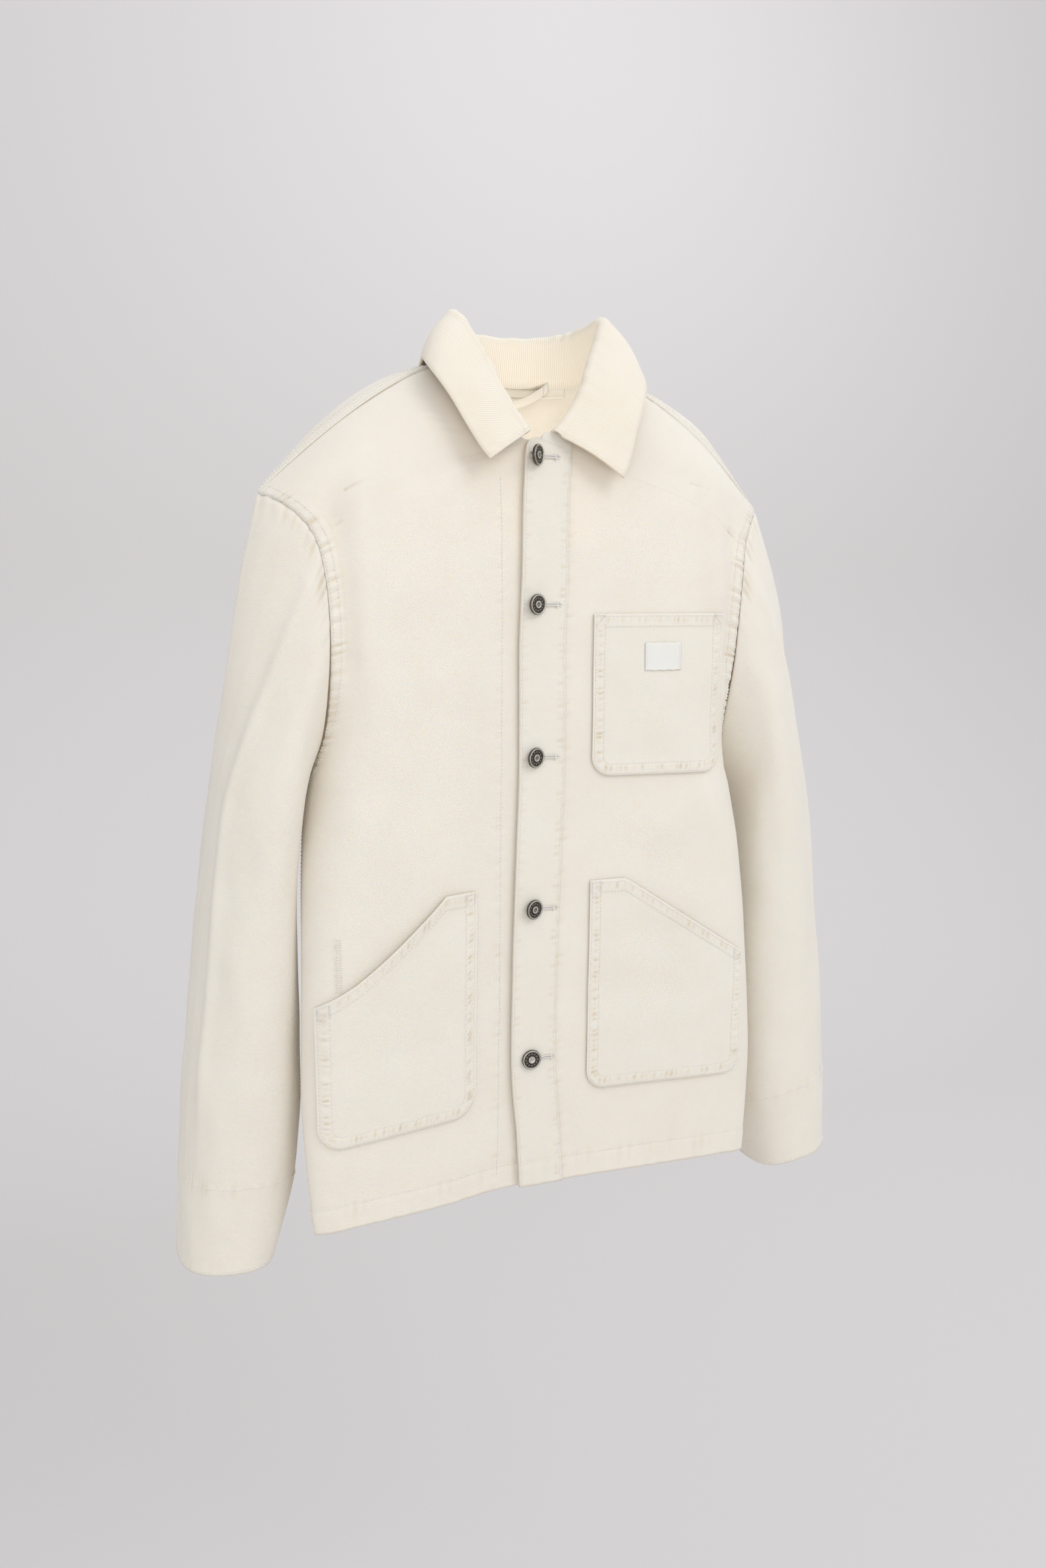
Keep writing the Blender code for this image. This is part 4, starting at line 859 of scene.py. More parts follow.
# One row over the hem, two beside every side seam and armhole, three behind each shoulder.
low_u = np.linspace(-0.998, 0.998, 300)
seams = [along_run(*back_surface(low_u, hem_row(back_net, low_u)))]
arm_rows, side_rows = np.linspace(UNDERARM, BACK_TOP, 160), np.linspace(0.02, UNDERARM, 160)
for end in (-1.0, 1.0):
    for away in SEAM_STITCHES:
        for rows in (arm_rows, side_rows):
            seams.append(along_run(*back_surface(inset(back_net, end, rows, away), rows)))
    top_u = end * np.linspace(NECK_SHARE, 0.995, 160)
    reach = back_net(top_u, BACK_TOP + 0 * top_u) - back_net(top_u, BACK_TOP - 0.3 + 0 * top_u)
    for away in (0.0022, 0.0070, 0.0118):
        top_rows = BACK_TOP - 0.3 * away / np.linalg.norm(reach, axis=-1)
        seams.append(along_run(*back_surface(top_u, top_rows)))
sew("thread_back", seams)


# ---- The sleeves ----
# Each sleeve is one tube of twill set into its armhole, with the fullness of the cap eased into
# small gathers. It has a soft press line down the outside and a deep stitched hem for a cuff.

sleeve_cut = table(
    "at    x_out   z_out   x_in    z_in    y_mid  half_depth  square",
    (0.00, 0.2360, -0.104, 0.2020, -0.345, 0.020, 0.0630, 2.1),
    (0.06, 0.2455, -0.145, 0.2080, -0.360, 0.020, 0.0640, 2.2),
    (0.14, 0.2545, -0.197, 0.2118, -0.385, 0.021, 0.0630, 2.3),
    (0.22, 0.2625, -0.247, 0.2134, -0.415, 0.022, 0.0620, 2.4),
    (0.33, 0.2745, -0.320, 0.2146, -0.455, 0.024, 0.0600, 2.5),
    (0.46, 0.2870, -0.410, 0.2125, -0.510, 0.025, 0.0570, 2.5),
    (0.60, 0.2985, -0.505, 0.2112, -0.565, 0.026, 0.0555, 2.5),
    (0.74, 0.3080, -0.600, 0.2118, -0.635, 0.026, 0.0530, 2.5),
    (0.86, 0.3125, -0.675, 0.2175, -0.690, 0.025, 0.0490, 2.5),
    (1.00, 0.3145, -0.750, 0.2365, -0.756, 0.024, 0.0440, 2.6),
)
sleeve_swing = table(
    "at    right_x  right_y  right_tilt  left_x   left_y   left_tilt",
    (0.00, 0.0000, 0.000, 0.000, 0.0000, 0.0000, 0.000),
    (0.14, 0.0020, 0.001, 0.000, 0.0120, -0.003, 0.000),
    (0.30, 0.0005, 0.003, 0.000, 0.0070, -0.006, 0.001),
    (0.50, 0.0000, 0.005, 0.000, 0.0080, -0.008, 0.003),
    (0.75, 0.0012, 0.007, 0.000, 0.0110, -0.010, 0.008),
    (1.00, 0.0040, 0.008, 0.000, 0.0145, -0.010, 0.014),
)
sleeve_folds = (
    (52, 0.02, 58, 0.75, 9, 0.0030),
    (95, 0.05, 120, 0.40, 12, 0.0030),
    (140, 0.30, 70, 0.52, 11, -0.0022),
    (300, 0.28, 240, 0.50, 12, -0.0025),
    (20, 0.55, 100, 0.66, 10, -0.0015),
)
RING_POINTS = 60


def armhole_ring(side):
    """Points round an armhole: from the shoulder down the front, then up the back."""
    down = np.linspace(FRONT_TOP, UNDERARM, RING_POINTS + 1)
    up = np.linspace(UNDERARM, BACK_TOP, RING_POINTS + 1)[1:-1]
    end = 1.0 if side == "left" else -1.0
    return np.concatenate([front_net(side, np.ones_like(down), down), back_net(end, up)])


def sleeve_rings(turn, x_out, z_out, x_in, z_in, y_mid, depth, power):
    """Rounded ovals: with c, s = cos, sin of turn, each raised to 2 / power, the point
    is middle + half-width c across and y_mid - depth s."""
    c, s = np.cos(turn), np.sin(turn)
    c = np.sign(c) * np.abs(c) ** (2 / power)
    s = np.sign(s) * np.abs(s) ** (2 / power)
    x = (x_out + x_in) / 2 + (x_out - x_in) / 2 * c
    z = (z_out + z_in) / 2 + (z_out - z_in) / 2 * c
    return np.stack([x, y_mid - depth * s, z + 0 * s], -1)


def sleeve_surface(side, at):
    """A sleeve's points (round, down) and normals: ovals drawn to the armhole over the first
    0.42, hung apart by sleeve_swing, with folds, cap gathers and cuff ripples along the normal."""
    armhole = armhole_ring(side)
    step = np.linalg.norm(np.diff(armhole, axis=0, append=armhole[:1]), axis=1)
    turn = np.empty(len(armhole))
    turn[: RING_POINTS + 1] = math.pi * np.append(0, step[:RING_POINTS].cumsum())
    turn[: RING_POINTS + 1] /= step[:RING_POINTS].sum()
    behind = step[RING_POINTS:].cumsum() / step[RING_POINTS:].sum()
    turn[RING_POINTS + 1 :] = math.pi * (1 + behind[:-1])
    turn, at = turn[:, None], at[None, :]
    names = ("x_out", "z_out", "x_in", "z_in", "y_mid", "half_depth", "square")
    slid = turn - 0.45 * np.sin(turn) * np.clip(at / 0.35, 0, 1)
    points = sleeve_rings(slid, *read(sleeve_cut, at, *names))
    first = sleeve_rings(turn, *(sleeve_cut[name][0] for name in names))
    ease = soft(1 - at / 0.42)[..., None]
    mirror = np.array([-1.0 if side == "right" else 1.0, 1, 1])
    points = points + ease * (armhole[:, None] * mirror - first)
    aside, back, tilt = read(sleeve_swing, at, side + "_x", side + "_y", side + "_tilt")
    outer = (1 + np.cos(slid)) / 2
    points = points + np.stack(np.broadcast_arrays(aside, back, tilt * outer), -1)
    along = np.roll(points, -1, 0) - np.roll(points, 1, 0)
    normal = unit(np.cross(along, np.gradient(points, axis=1)))
    degrees = np.degrees(turn)
    down = lengths(points, 1)
    to_cuff = down[:, -1:] - down
    around = np.concatenate([[0], step[:-1].cumsum()])[:, None] + 0 * at
    folds = ridges(degrees, at, sleeve_folds, 140.0) * np.clip(at / 0.05, 0, 1)
    cap = soft((np.cos(turn) + 0.35) / 0.8)
    seed = 0.9 if side == "right" else 3.9
    rise = (
        folds * np.clip((1 - at) / 0.05, 0, 1)
        + 0.0012 * cap * ripples(around, 0.011, 1.1) * bell(down, 0.006, 0.010)
        - 0.0009 * bell(down, 0, 0.0022)
        + 0.0003 * bell(degrees, 24, 2.2) * soft(at / 0.08) * soft((0.97 - at) / 0.2)
        + 0.0006 * ripples(around, 0.014, 2.0) * bell(to_cuff, 0.078, 0.010)
        + 0.0003 * ripples(around, 0.011, 3.0) * bell(to_cuff, 0, 0.008)
        + 0.0004 * soft((0.0795 - to_cuff) / 0.0015)
        + 0.0010 * swell(around, down, seed, 0.09) * soft(down / 0.05)
    )
    points = (points + normal * rise[..., None]) * mirror
    return points, normal * mirror, around, down


def cuff_ring(grid, to_cuff, height):
    """A closed run round a sleeve's grid at a height over its cuff."""
    ring = [
        [np.interp(-height, -to_cuff[i], grid[i, :, axis]) for axis in range(3)]
        for i in range(len(grid))
    ]
    return np.array(ring + ring[:1])


for side in ("right", "left"):
    points, normal, around, down = sleeve_surface(side, np.linspace(0, 1, 236) ** 0.95)
    tube, uv = outwards(side, points, np.stack([around, -down], -1))
    name = "sleeve_" + side
    cut_piece(
        name + "_cloth", trim(tube, closed=True), uv, name, twill,
        closed=True, deep=0.0018, flat=(0.44, 0.66), held="hung", area=0.21,
    )
    # Two rows round the cuff's hem, and one on each side of the seam under the arm.
    to_cuff = down[:, -1:] - down
    seams = [
        along_run(cuff_ring(points, to_cuff, height), cuff_ring(normal, to_cuff, height))
        for height in (0.0775, 0.0030)
    ]
    for i in (RING_POINTS - 1, RING_POINTS + 1):
        seams.append(along_run(points[i, 3:], normal[i, 3:]))
    sew("thread_" + name, seams)


# ---- The button band ----
# A double strip of the same twill down the left front's free edge, 42 mm wide, edge-stitched
# down both sides and rounded at its top corner, with five worked buttonholes.

BAND_FACE = SEAM_GAP + 2 * TWILL_WALL
BAND_STITCHES = (0.0022, 0.0398)


def on_front(side, x, z):
    """Places on a front by x towards its side and z, found by Newton's steps on its net, with
    the surface's points and outward normals there."""
    flip = np.array([-1.0 if side == "right" else 1.0, 1, 1])

    def spot(u, row):
        """A place on the front's net, upright and on the wearer's left."""
        points = front_net(side, u, row)
        return (points - points[..., 2:3] * np.array([BODY_LEAN, 0, 0])) * flip

    u, small = np.full(x.shape, 0.5), 1e-3
    row = edge_row(z)
    for _ in range(9):
        here = spot(u, row)
        du, dv = (spot(u + small, row) - here) / small, (spot(u, row + small) - here) / small
        det = du[..., 0] * dv[..., 2] - du[..., 2] * dv[..., 0]
        ex, ez = x - here[..., 0], z - here[..., 2]
        u = np.clip(u + np.clip((ex * dv[..., 2] - ez * dv[..., 0]) / det, -0.1, 0.1), 0.002, 0.99)
        row = row + np.clip((ez * du[..., 0] - ex * du[..., 2]) / det, -1, 1)
    return front_surface(side, u, row)


def band_surface(across, row):
    """The band's face, across 0 at the free edge to 1 at 42 mm: the left front's own surface,
    raised by a gap and a wall, with ripples beside both rows of stitching."""
    across, row = np.broadcast_arrays(np.asarray(across, float), np.asarray(row, float))
    edge, middle = front_net("left", 0 * row, row), front_net("left", 0.1 + 0 * row, row)
    width = np.where(row > EDGE_TOP, (0.0200 - edge[..., 0]).clip(0.001, BAND_WIDTH), BAND_WIDTH)
    share = 0.1 * width / np.linalg.norm(middle - edge, axis=-1)
    draw = corner_draw(row)
    inner = draw / BAND_WIDTH + (1 - draw / BAND_WIDTH) * across
    points, normal = front_surface("left", inner * share, row)
    z, aside = points[..., 2], BAND_WIDTH - (1 - across) * width
    rise = (
        0.0003 * ripples(z, 0.0075, 0.4) * bell(aside, 0.0045, 0.0030)
        + 0.0004 * ripples(z, 0.0080, 2.4) * bell(aside, 0.037, 0.0030)
        - 0.0003 * bell(aside, BAND_STITCHES[0], 0.0009)
        - 0.0003 * bell(aside, BAND_STITCHES[1], 0.0009)
    )
    return points + normal * (SEAM_GAP + TWILL_WALL + 0.0004 + rise)[..., None], normal


def laid_close(surface, starts, ends, lift=0.0):
    """Stitches laid close together from one row of places on a surface to another, raised by
    lift along the cloth's normals."""
    points, normals = surface(*starts)
    others, _ = surface(*ends)
    return points + normals * lift, others + normals * lift, normals


neck_x = front_net("left", 0 * front_rows, front_rows)[:, 0]
band_rows = front_rows[(front_rows <= EDGE_TOP) | (neck_x < 0.0185)]
points, _ = band_surface(np.linspace(0, 1, 25)[:, None], band_rows[None, :])
cut_piece(
    "button_band", points, laid_flat(points), "placket", twill, deep=0.0008,
    flat=(0.042, 0.655), held="hung", rests_on=["front_left_cloth"],
)

seams, down = [], np.linspace(0.02, EDGE_TOP + 0.3, 320)
for place_across in BAND_STITCHES:
    seams.append(along_run(*band_surface(place_across / BAND_WIDTH + 0 * down, down)))
along_neck = np.linspace(0.12, 0.9, 40)
seams.append(along_run(*band_surface(along_neck, NECK_START - 0.22 + 0 * along_neck)))

button_heights = np.array([-0.0705, -0.1925, -0.3220, -0.4545, -0.5905])
left_front = partial(on_front, "left")
along = np.linspace(BUTTON_LINE - 0.003, BUTTON_LINE + 0.0190, 52)
slant = np.where(np.arange(52) % 2, 0.0001, -0.0001)
bar, t = np.linspace(-0.0019, 0.0019, 9), np.linspace(0, 1, 22)
# A buttonhole is two close rows and a bar across its end, with three loose thread ends.
for z in button_heights:
    for low, high in ((-0.0017, -0.0002), (0.0002, 0.0017)):
        starts, ends = (along, z + low + 0 * along), (along + slant, z + high + 0 * along)
        seams.append(laid_close(left_front, starts, ends, BAND_FACE + 0.0003))
    starts, ends = ((BUTTON_LINE + near + 0 * bar, z + bar) for near in (0.0188, 0.0208))
    seams.append(laid_close(left_front, starts, ends, BAND_FACE + 0.0004))
    for turn in (0.6, 2.1, 3.7):
        curl_x = BUTTON_LINE + 0.0170 + 0.0065 * t + 0.0018 * np.sin(6 * t + turn)
        curl_z = z - 0.0006 - 0.0030 * t * math.cos(turn) + 0.0016 * np.cos(7 * t + turn)
        points, normal = left_front(curl_x, curl_z)
        points = points + normal * (0.0022 + 0.0012 * np.sin(math.pi * t))[:, None]
        seams.append((points[:-1], points[1:], normal[:-1]))
sew("thread_button_band", seams, thick=0.00036)


# ---- The collar ----
# A fold-down collar of fine ribbed cord, doubled to 2.4 mm. It stands on the neck seam inside,
# folds over its roll line and lies on the shoulders, with its free edges stitched near the edge.

CORD_WALL, ROLL_RADIUS, LEAF_BOW, LEAF_LENGTH = 0.0024, 0.0045, 0.004, 0.058
RIB, RIB_RISE = 0.0019, 0.00026
LEAF_STITCH, END_STITCH = 0.948, 0.003

place_round = np.linspace(0, 1, 401)
blur = np.hanning(61) / np.hanning(61).sum()


def smoothed(rows):
    """Rows averaged over 60 neighbours, except at both ends, where they keep their places."""
    ends = np.concatenate([2 * rows[:1] - rows[30:0:-1], rows, 2 * rows[-1:] - rows[-2:-32:-1]])
    return np.stack([np.convolve(ends[:, k], blur, "valid") for k in range(3)], -1)


def neck_run(part):
    """A smooth line round the whole neck from the right front to the left: the table's half and
    its mirror image, set aside in front, the free edge raised on the right, dropped on the left."""
    halves = []
    for sign in (-1, 1):
        half, aside = neck_point(place_round, part)
        half = half * [sign, 1, 1] + np.outer(aside, [1, 0, 0])
        if part == "edge":
            half[:, 2] -= sign * read(neck_cut, place_round, "drop")
        halves.append(half if sign < 0 else half[-2::-1])
    return smoothed(np.concatenate(halves))


def neck_outward():
    """The body's outward normals along the neck seam, from the right front to the left."""
    front_at, back_at = place_round[place_round <= SIDE_NECK], place_round[place_round > SIDE_NECK]
    halves = []
    for side, sign in (("right", -1), ("left", 1)):
        _, on_fronts = front_surface(side, 0 * front_at, NECK_START + 2 * front_at / SIDE_NECK)
        reach = sign * NECK_SHARE * (1 - back_at) / (1 - SIDE_NECK)
        _, on_back = back_surface(reach, BACK_TOP + 0 * reach)
        half = np.concatenate([on_fronts, on_back])
        halves.append(half if sign < 0 else half[-2::-1])
    return unit(smoothed(np.concatenate(halves)))


neck_line, roll_line, edge_line = leaned(neck_run("seam")), neck_run("roll"), neck_run("edge")
roll_line[:, 2] -= 0.006 * bell(roll_line[:, 0], -0.072, 0.024)
body_out = neck_outward()
ahead = unit(np.gradient(neck_line, axis=0))
seam_low = neck_line + unit(np.cross(ahead, body_out)) * SEAM_GAP
# Both ends of the stand keep 2 mm clear of the fronts' top corners.
seam_low[:8, 2] += 0.002 * (1 - np.arange(8) / 8)
seam_low[-8:, 2] += 0.002 * np.arange(1, 9) / 8
seam_in = seam_low - body_out * CORD_WALL
to_seam, to_edge = unit(seam_in - roll_line), unit(edge_line - roll_line)
roll_top = -unit(to_seam + to_edge)
tangent = np.gradient(roll_line, axis=0)
inward = unit(np.cross(tangent, roll_top))
inward *= np.sign(np.sum(inward * (to_seam - to_edge), -1, keepdims=True))
roll_middle = roll_line - roll_top * ROLL_RADIUS
leaf_start = roll_middle - inward * ROLL_RADIUS
bow_out = unit(np.cross(edge_line - leaf_start, tangent))
bow_out *= np.sign(np.sum(bow_out * -inward, -1, keepdims=True))
round_neck = run_length(roll_line)
neck_length = round_neck[-1]


def collar_place(s, fall):
    """The collar's face at a length round the neck and a place up and over it. Fall -2 to -1 is
    straight up the stand; -1 to 0 a half circle over the roll; 0 to 1 down the leaf, bowed by
    4 mm sin(pi fall)."""
    s, fall = np.broadcast_arrays(s, fall)

    def pick(rows):
        """A line's points at a length round the neck."""
        return np.stack([np.interp(s, round_neck, rows[:, k]) for k in range(3)], -1)

    start, turned_in = pick(seam_in), pick(roll_middle + inward * ROLL_RADIUS)
    stand = start + (turned_in - start) * (fall + 2).clip(0, 1)[..., None]
    angle = math.pi * np.clip(fall + 1, 0, 1)[..., None]
    over = pick(roll_middle) + ROLL_RADIUS * (
        pick(inward) * np.cos(angle) + pick(roll_top) * np.sin(angle)
    )
    leaf, edge = pick(leaf_start), pick(edge_line)
    share = fall.clip(0, 1)[..., None]
    leaf = leaf + (edge - leaf) * share + pick(bow_out) * LEAF_BOW * np.sin(math.pi * share)
    fall = fall[..., None]
    return np.where(fall < -1, stand, np.where(fall <= 0, over, leaf))


def collar_surface(s, fall, rib=None):
    """The face with its relief, and its outward normals: ribs RIB apart and flattened at the free
    edges, a sunk line under the stitches 3 mm in, ripples beside it, and a soft, uneven roll."""
    s, fall = np.broadcast_arrays(np.asarray(s, float), np.asarray(fall, float))
    s = s.clip(0, neck_length)
    back, on = (s - 0.0006).clip(0), (s + 0.0006).clip(0, neck_length)
    down, up = (fall + 0.02).clip(-2, 1), (fall - 0.02).clip(-2, 1)
    over = collar_place(s, down) - collar_place(s, up)
    normal = unit(np.cross(over, collar_place(on, fall) - collar_place(back, fall)))
    to_end, to_edge = np.minimum(s, neck_length - s), (1 - fall) * LEAF_LENGTH
    free = np.minimum(to_end, to_edge)
    relief = (
        -0.0005 * bell(free, 0.0032, 0.0009)
        + 0.0004 * ripples(s, 0.009, 1.4) * bell(to_edge, 0.006, 0.003)
        + 0.0004 * ripples(to_edge, 0.010, 2.4) * bell(to_end, 0.007, 0.003)
        + 0.0007 * swell(s, to_edge, 2.2, 0.05) * soft(free / 0.015)
        + 0.0006 * bell(fall, -0.45, 0.6) * ripples(s, 0.019, 0.8) * soft(to_end / 0.03)
    )
    if rib is not None:
        ribbed = RIB_RISE * np.cos(2 * math.pi * rib / RIB)
        relief = relief + ribbed * soft((free - 0.0012) / 0.0015)
    return collar_place(s, fall) + normal * relief[..., None], normal


ribs = np.arange(-0.047, neck_length + 0.047, RIB / 5)[:, None]
falls = np.concatenate([[-2, -1.75, -1.5, -1.25], np.linspace(-1, 0, 8), np.linspace(0, 1, 15)[1:]])
falls = falls[None, :]
slant = 0.65 * (1 - 2 * ribs / neck_length) * LEAF_LENGTH * falls.clip(0)
outer, face_out = collar_surface(ribs + slant, falls, ribs + 0 * falls)
plain, _ = collar_surface(ribs + slant, falls)
inner = plain - face_out * CORD_WALL
rim = (outer[:, -1] + inner[:, -1]) / 2 + unit(outer[:, -1] - outer[:, -2]) * 0.0007
ring = np.concatenate([outer, rim[:, None], inner[:, ::-1]], axis=1)
core = plain - face_out * CORD_WALL / 2
core = np.concatenate([core, rim[:, None], core[:, ::-1]], axis=1)
past = (unit(neck_line[0] - neck_line[6]) * 0.0007, unit(neck_line[-1] - neck_line[-7]) * 0.0007)
ring = np.concatenate([core[:1] + past[0], ring, core[-1:] + past[1]])
uv = np.stack(np.broadcast_arrays(ribs, falls * LEAF_LENGTH), -1)
uv = np.concatenate([uv, uv[:, -1:], uv[:, ::-1]], axis=1)
uv = np.concatenate([uv[:1], uv, uv[-1:]])

cord, tree, shader, place, tone = cloth_material(
    "ribbed_cord", (0.860, 0.790, 0.675), (0.835, 0.760, 0.635), 0.85, 0.2
)
# Painted shade: the cord's colour darkens in stripes at the rib pitch, for the shade between its
# ribs.
rib_shade = ramp(tree, bands(tree, place, 0.0, RIB), (0.84, 0.79, 0.70), (1, 1, 1), end=0.55)
tree.links.new(mixed(tree, "MULTIPLY", 0.8, tone, rib_shade), shader.inputs["Base Color"])
raise_nap(tree, shader, noise(tree, place["Object"], 1500.0).outputs["Fac"], 0.4, 0.00015)

# Both ends of the ring close to a line, and the points that meet there are joined.
collar = grid_mesh("collar_cord", ring.swapaxes(0, 1), closed=True, uv=uv.swapaxes(0, 1))
welded = bmesh.new()
welded.from_mesh(collar.data)
bmesh.ops.remove_doubles(welded, verts=welded.verts, dist=2e-6)
bmesh.ops.dissolve_degenerate(welded, edges=welded.edges, dist=1e-7)
welded.to_mesh(collar.data)
welded.free()
collar.data.materials.append(cord)
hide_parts("collar")
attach(collar, "root")

seams, down = [], np.linspace(1, -0.35, 200)
for end in (END_STITCH, neck_length - END_STITCH):
    seams.append(along_run(*collar_surface(end + 0 * down, down.clip(None, LEAF_STITCH))))
around = np.linspace(END_STITCH, neck_length - END_STITCH, 1500)
seams.append(along_run(*collar_surface(around, LEAF_STITCH + 0 * around)))
sew("thread_collar", seams)


# ---- The patch pockets ----
# Three patch pockets of the same twill: one on the chest, and two below with slanted mouths.
# Each has a turned hem at its mouth and is sewn on with two rows of stitches, 8 mm apart.

pockets = {
    "pocket_right": dict(
        side="right", inner=0.0680, outer=0.2075, mouth_flat=0.030, mouth_high=-0.434,
        mouth_low=-0.520, bottom_inner=-0.633, bottom_outer=-0.642, radius=0.020,
        gape=0.0045, hollow=0.006,
    ),
    "pocket_left": dict(
        side="left", inner=0.0400, outer=0.2000, mouth_flat=0.034, mouth_high=-0.434,
        mouth_low=-0.516, bottom_inner=-0.627, bottom_outer=-0.633, radius=0.018,
        gape=0.0015, hollow=0.0,
    ),
    "chest_pocket": dict(
        side="left", inner=0.0395, outer=0.1685, mouth_flat=0.129, mouth_high=-0.2005,
        mouth_low=-0.2005, bottom_inner=-0.341, bottom_outer=-0.343, radius=0.018,
        gape=0.0, hollow=0.0,
    ),
}
POCKET_CLEAR, TIGHTEST = 0.0008, 0.004
POCKET_STITCHES, MOUTH_STITCHES = (0.0020, 0.0104), (0.0022, 0.0110)


def mouth_of(cut, x):
    """The height of a pocket's mouth: level, then a straight slant with a hollow of
    hollow x sin(pi share)."""
    start = cut["inner"] + cut["mouth_flat"]
    share = np.clip((x - start) / max(cut["outer"] - start, 1e-6), 0, 1)
    fall = (cut["mouth_low"] - cut["mouth_high"]) * share
    return cut["mouth_high"] + fall - cut["hollow"] * np.sin(math.pi * share)


def foot_of(cut, x, inset=0.0):
    """The height of a pocket's bottom, with corners of a quarter circle, drawn in by inset."""
    inner, outer = cut["inner"] + inset, cut["outer"] - inset
    radius = max(cut["radius"] - inset, TIGHTEST)
    near = np.minimum(x - inner, outer - x).clip(0, radius)
    lift = radius - np.sqrt(radius**2 - (radius - near) ** 2)
    share = (x - cut["inner"]) / (cut["outer"] - cut["inner"])
    return cut["bottom_inner"] + (cut["bottom_outer"] - cut["bottom_inner"]) * share + lift + inset


def pocket_surface(cut, x, z):
    """A pocket's face: its front's surface, raised by a gap and a wall, gaping at the mouth,
    thicker at its turned hem and edges, and rippled beside its two rows of stitches."""
    points, normal = on_front(cut["side"], x, z)
    share = np.clip((x - cut["inner"]) / (cut["outer"] - cut["inner"]), 0, 1)
    above, below = z - foot_of(cut, x), mouth_of(cut, x) - z
    to_side = np.minimum(x - cut["inner"], cut["outer"] - x)
    to_edge = np.minimum(to_side, above).clip(0)
    along = np.where(to_side < above, z, x)
    seed = 3.0 * cut["inner"] * 100
    rise = (
        cut["gape"] * np.sin(math.pi * share**1.3) * np.exp(-below / 0.025)
        + 0.00035 * soft((0.0115 - np.minimum(to_edge, below)) / 0.0012)
        + 0.00075 * ripples(along, 0.0058, seed) * bell(to_edge, 0.0063, 0.0026)
        + 0.0006 * ripples(x, 0.0058, seed + 1) * bell(below, 0.0060, 0.0028)
        - 0.0003 * bell(to_edge, POCKET_STITCHES[0], 0.0008)
        - 0.0003 * bell(to_edge, POCKET_STITCHES[1], 0.0008)
        + 0.0009 * swell(x, z, seed, 0.06) * soft(to_edge / 0.02) * soft(below / 0.02)
    )
    height = POCKET_CLEAR + TWILL_WALL + 0.0002 + rise.clip(-0.0006)
    return points + normal * height[..., None], normal


def pocket_edge(cut, inset, count=400):
    """x and z of a run inset from a pocket's edge, from the inner end of the mouth down, round
    the bottom and up the outer side."""
    inner, outer = cut["inner"] + inset, cut["outer"] - inset
    radius = max(cut["radius"] - inset, TIGHTEST)
    bend = radius * (1 - np.cos(np.linspace(0, math.pi / 2, 12)))
    across = np.concatenate([inner + bend, outer - bend[::-1]])
    ends = mouth_of(cut, np.array([inner, outer])) - 0.001
    x = np.concatenate([[inner], across, [outer]])
    z = np.concatenate([ends[:1], foot_of(cut, across, inset), ends[1:]])
    step = np.append(0, np.hypot(np.diff(x), np.diff(z)).cumsum())
    even = np.linspace(0, step[-1], count)
    return np.interp(even, step, x), np.interp(even, step, z)


def tack(surface, ax, az, bx, bz, wide=0.0016, close=0.0005):
    """A bar tack from a to b: zigzag stitches across the line, close together."""
    long = math.hypot(bx - ax, bz - az)
    t = np.linspace(0, 1, max(int(long / close), 4))
    px, pz = -(bz - az) / long * wide / 2, (bx - ax) / long * wide / 2
    x, z = ax + (bx - ax) * t, az + (bz - az) * t
    return laid_close(surface, (x - px, z - pz), (x + px, z + pz))


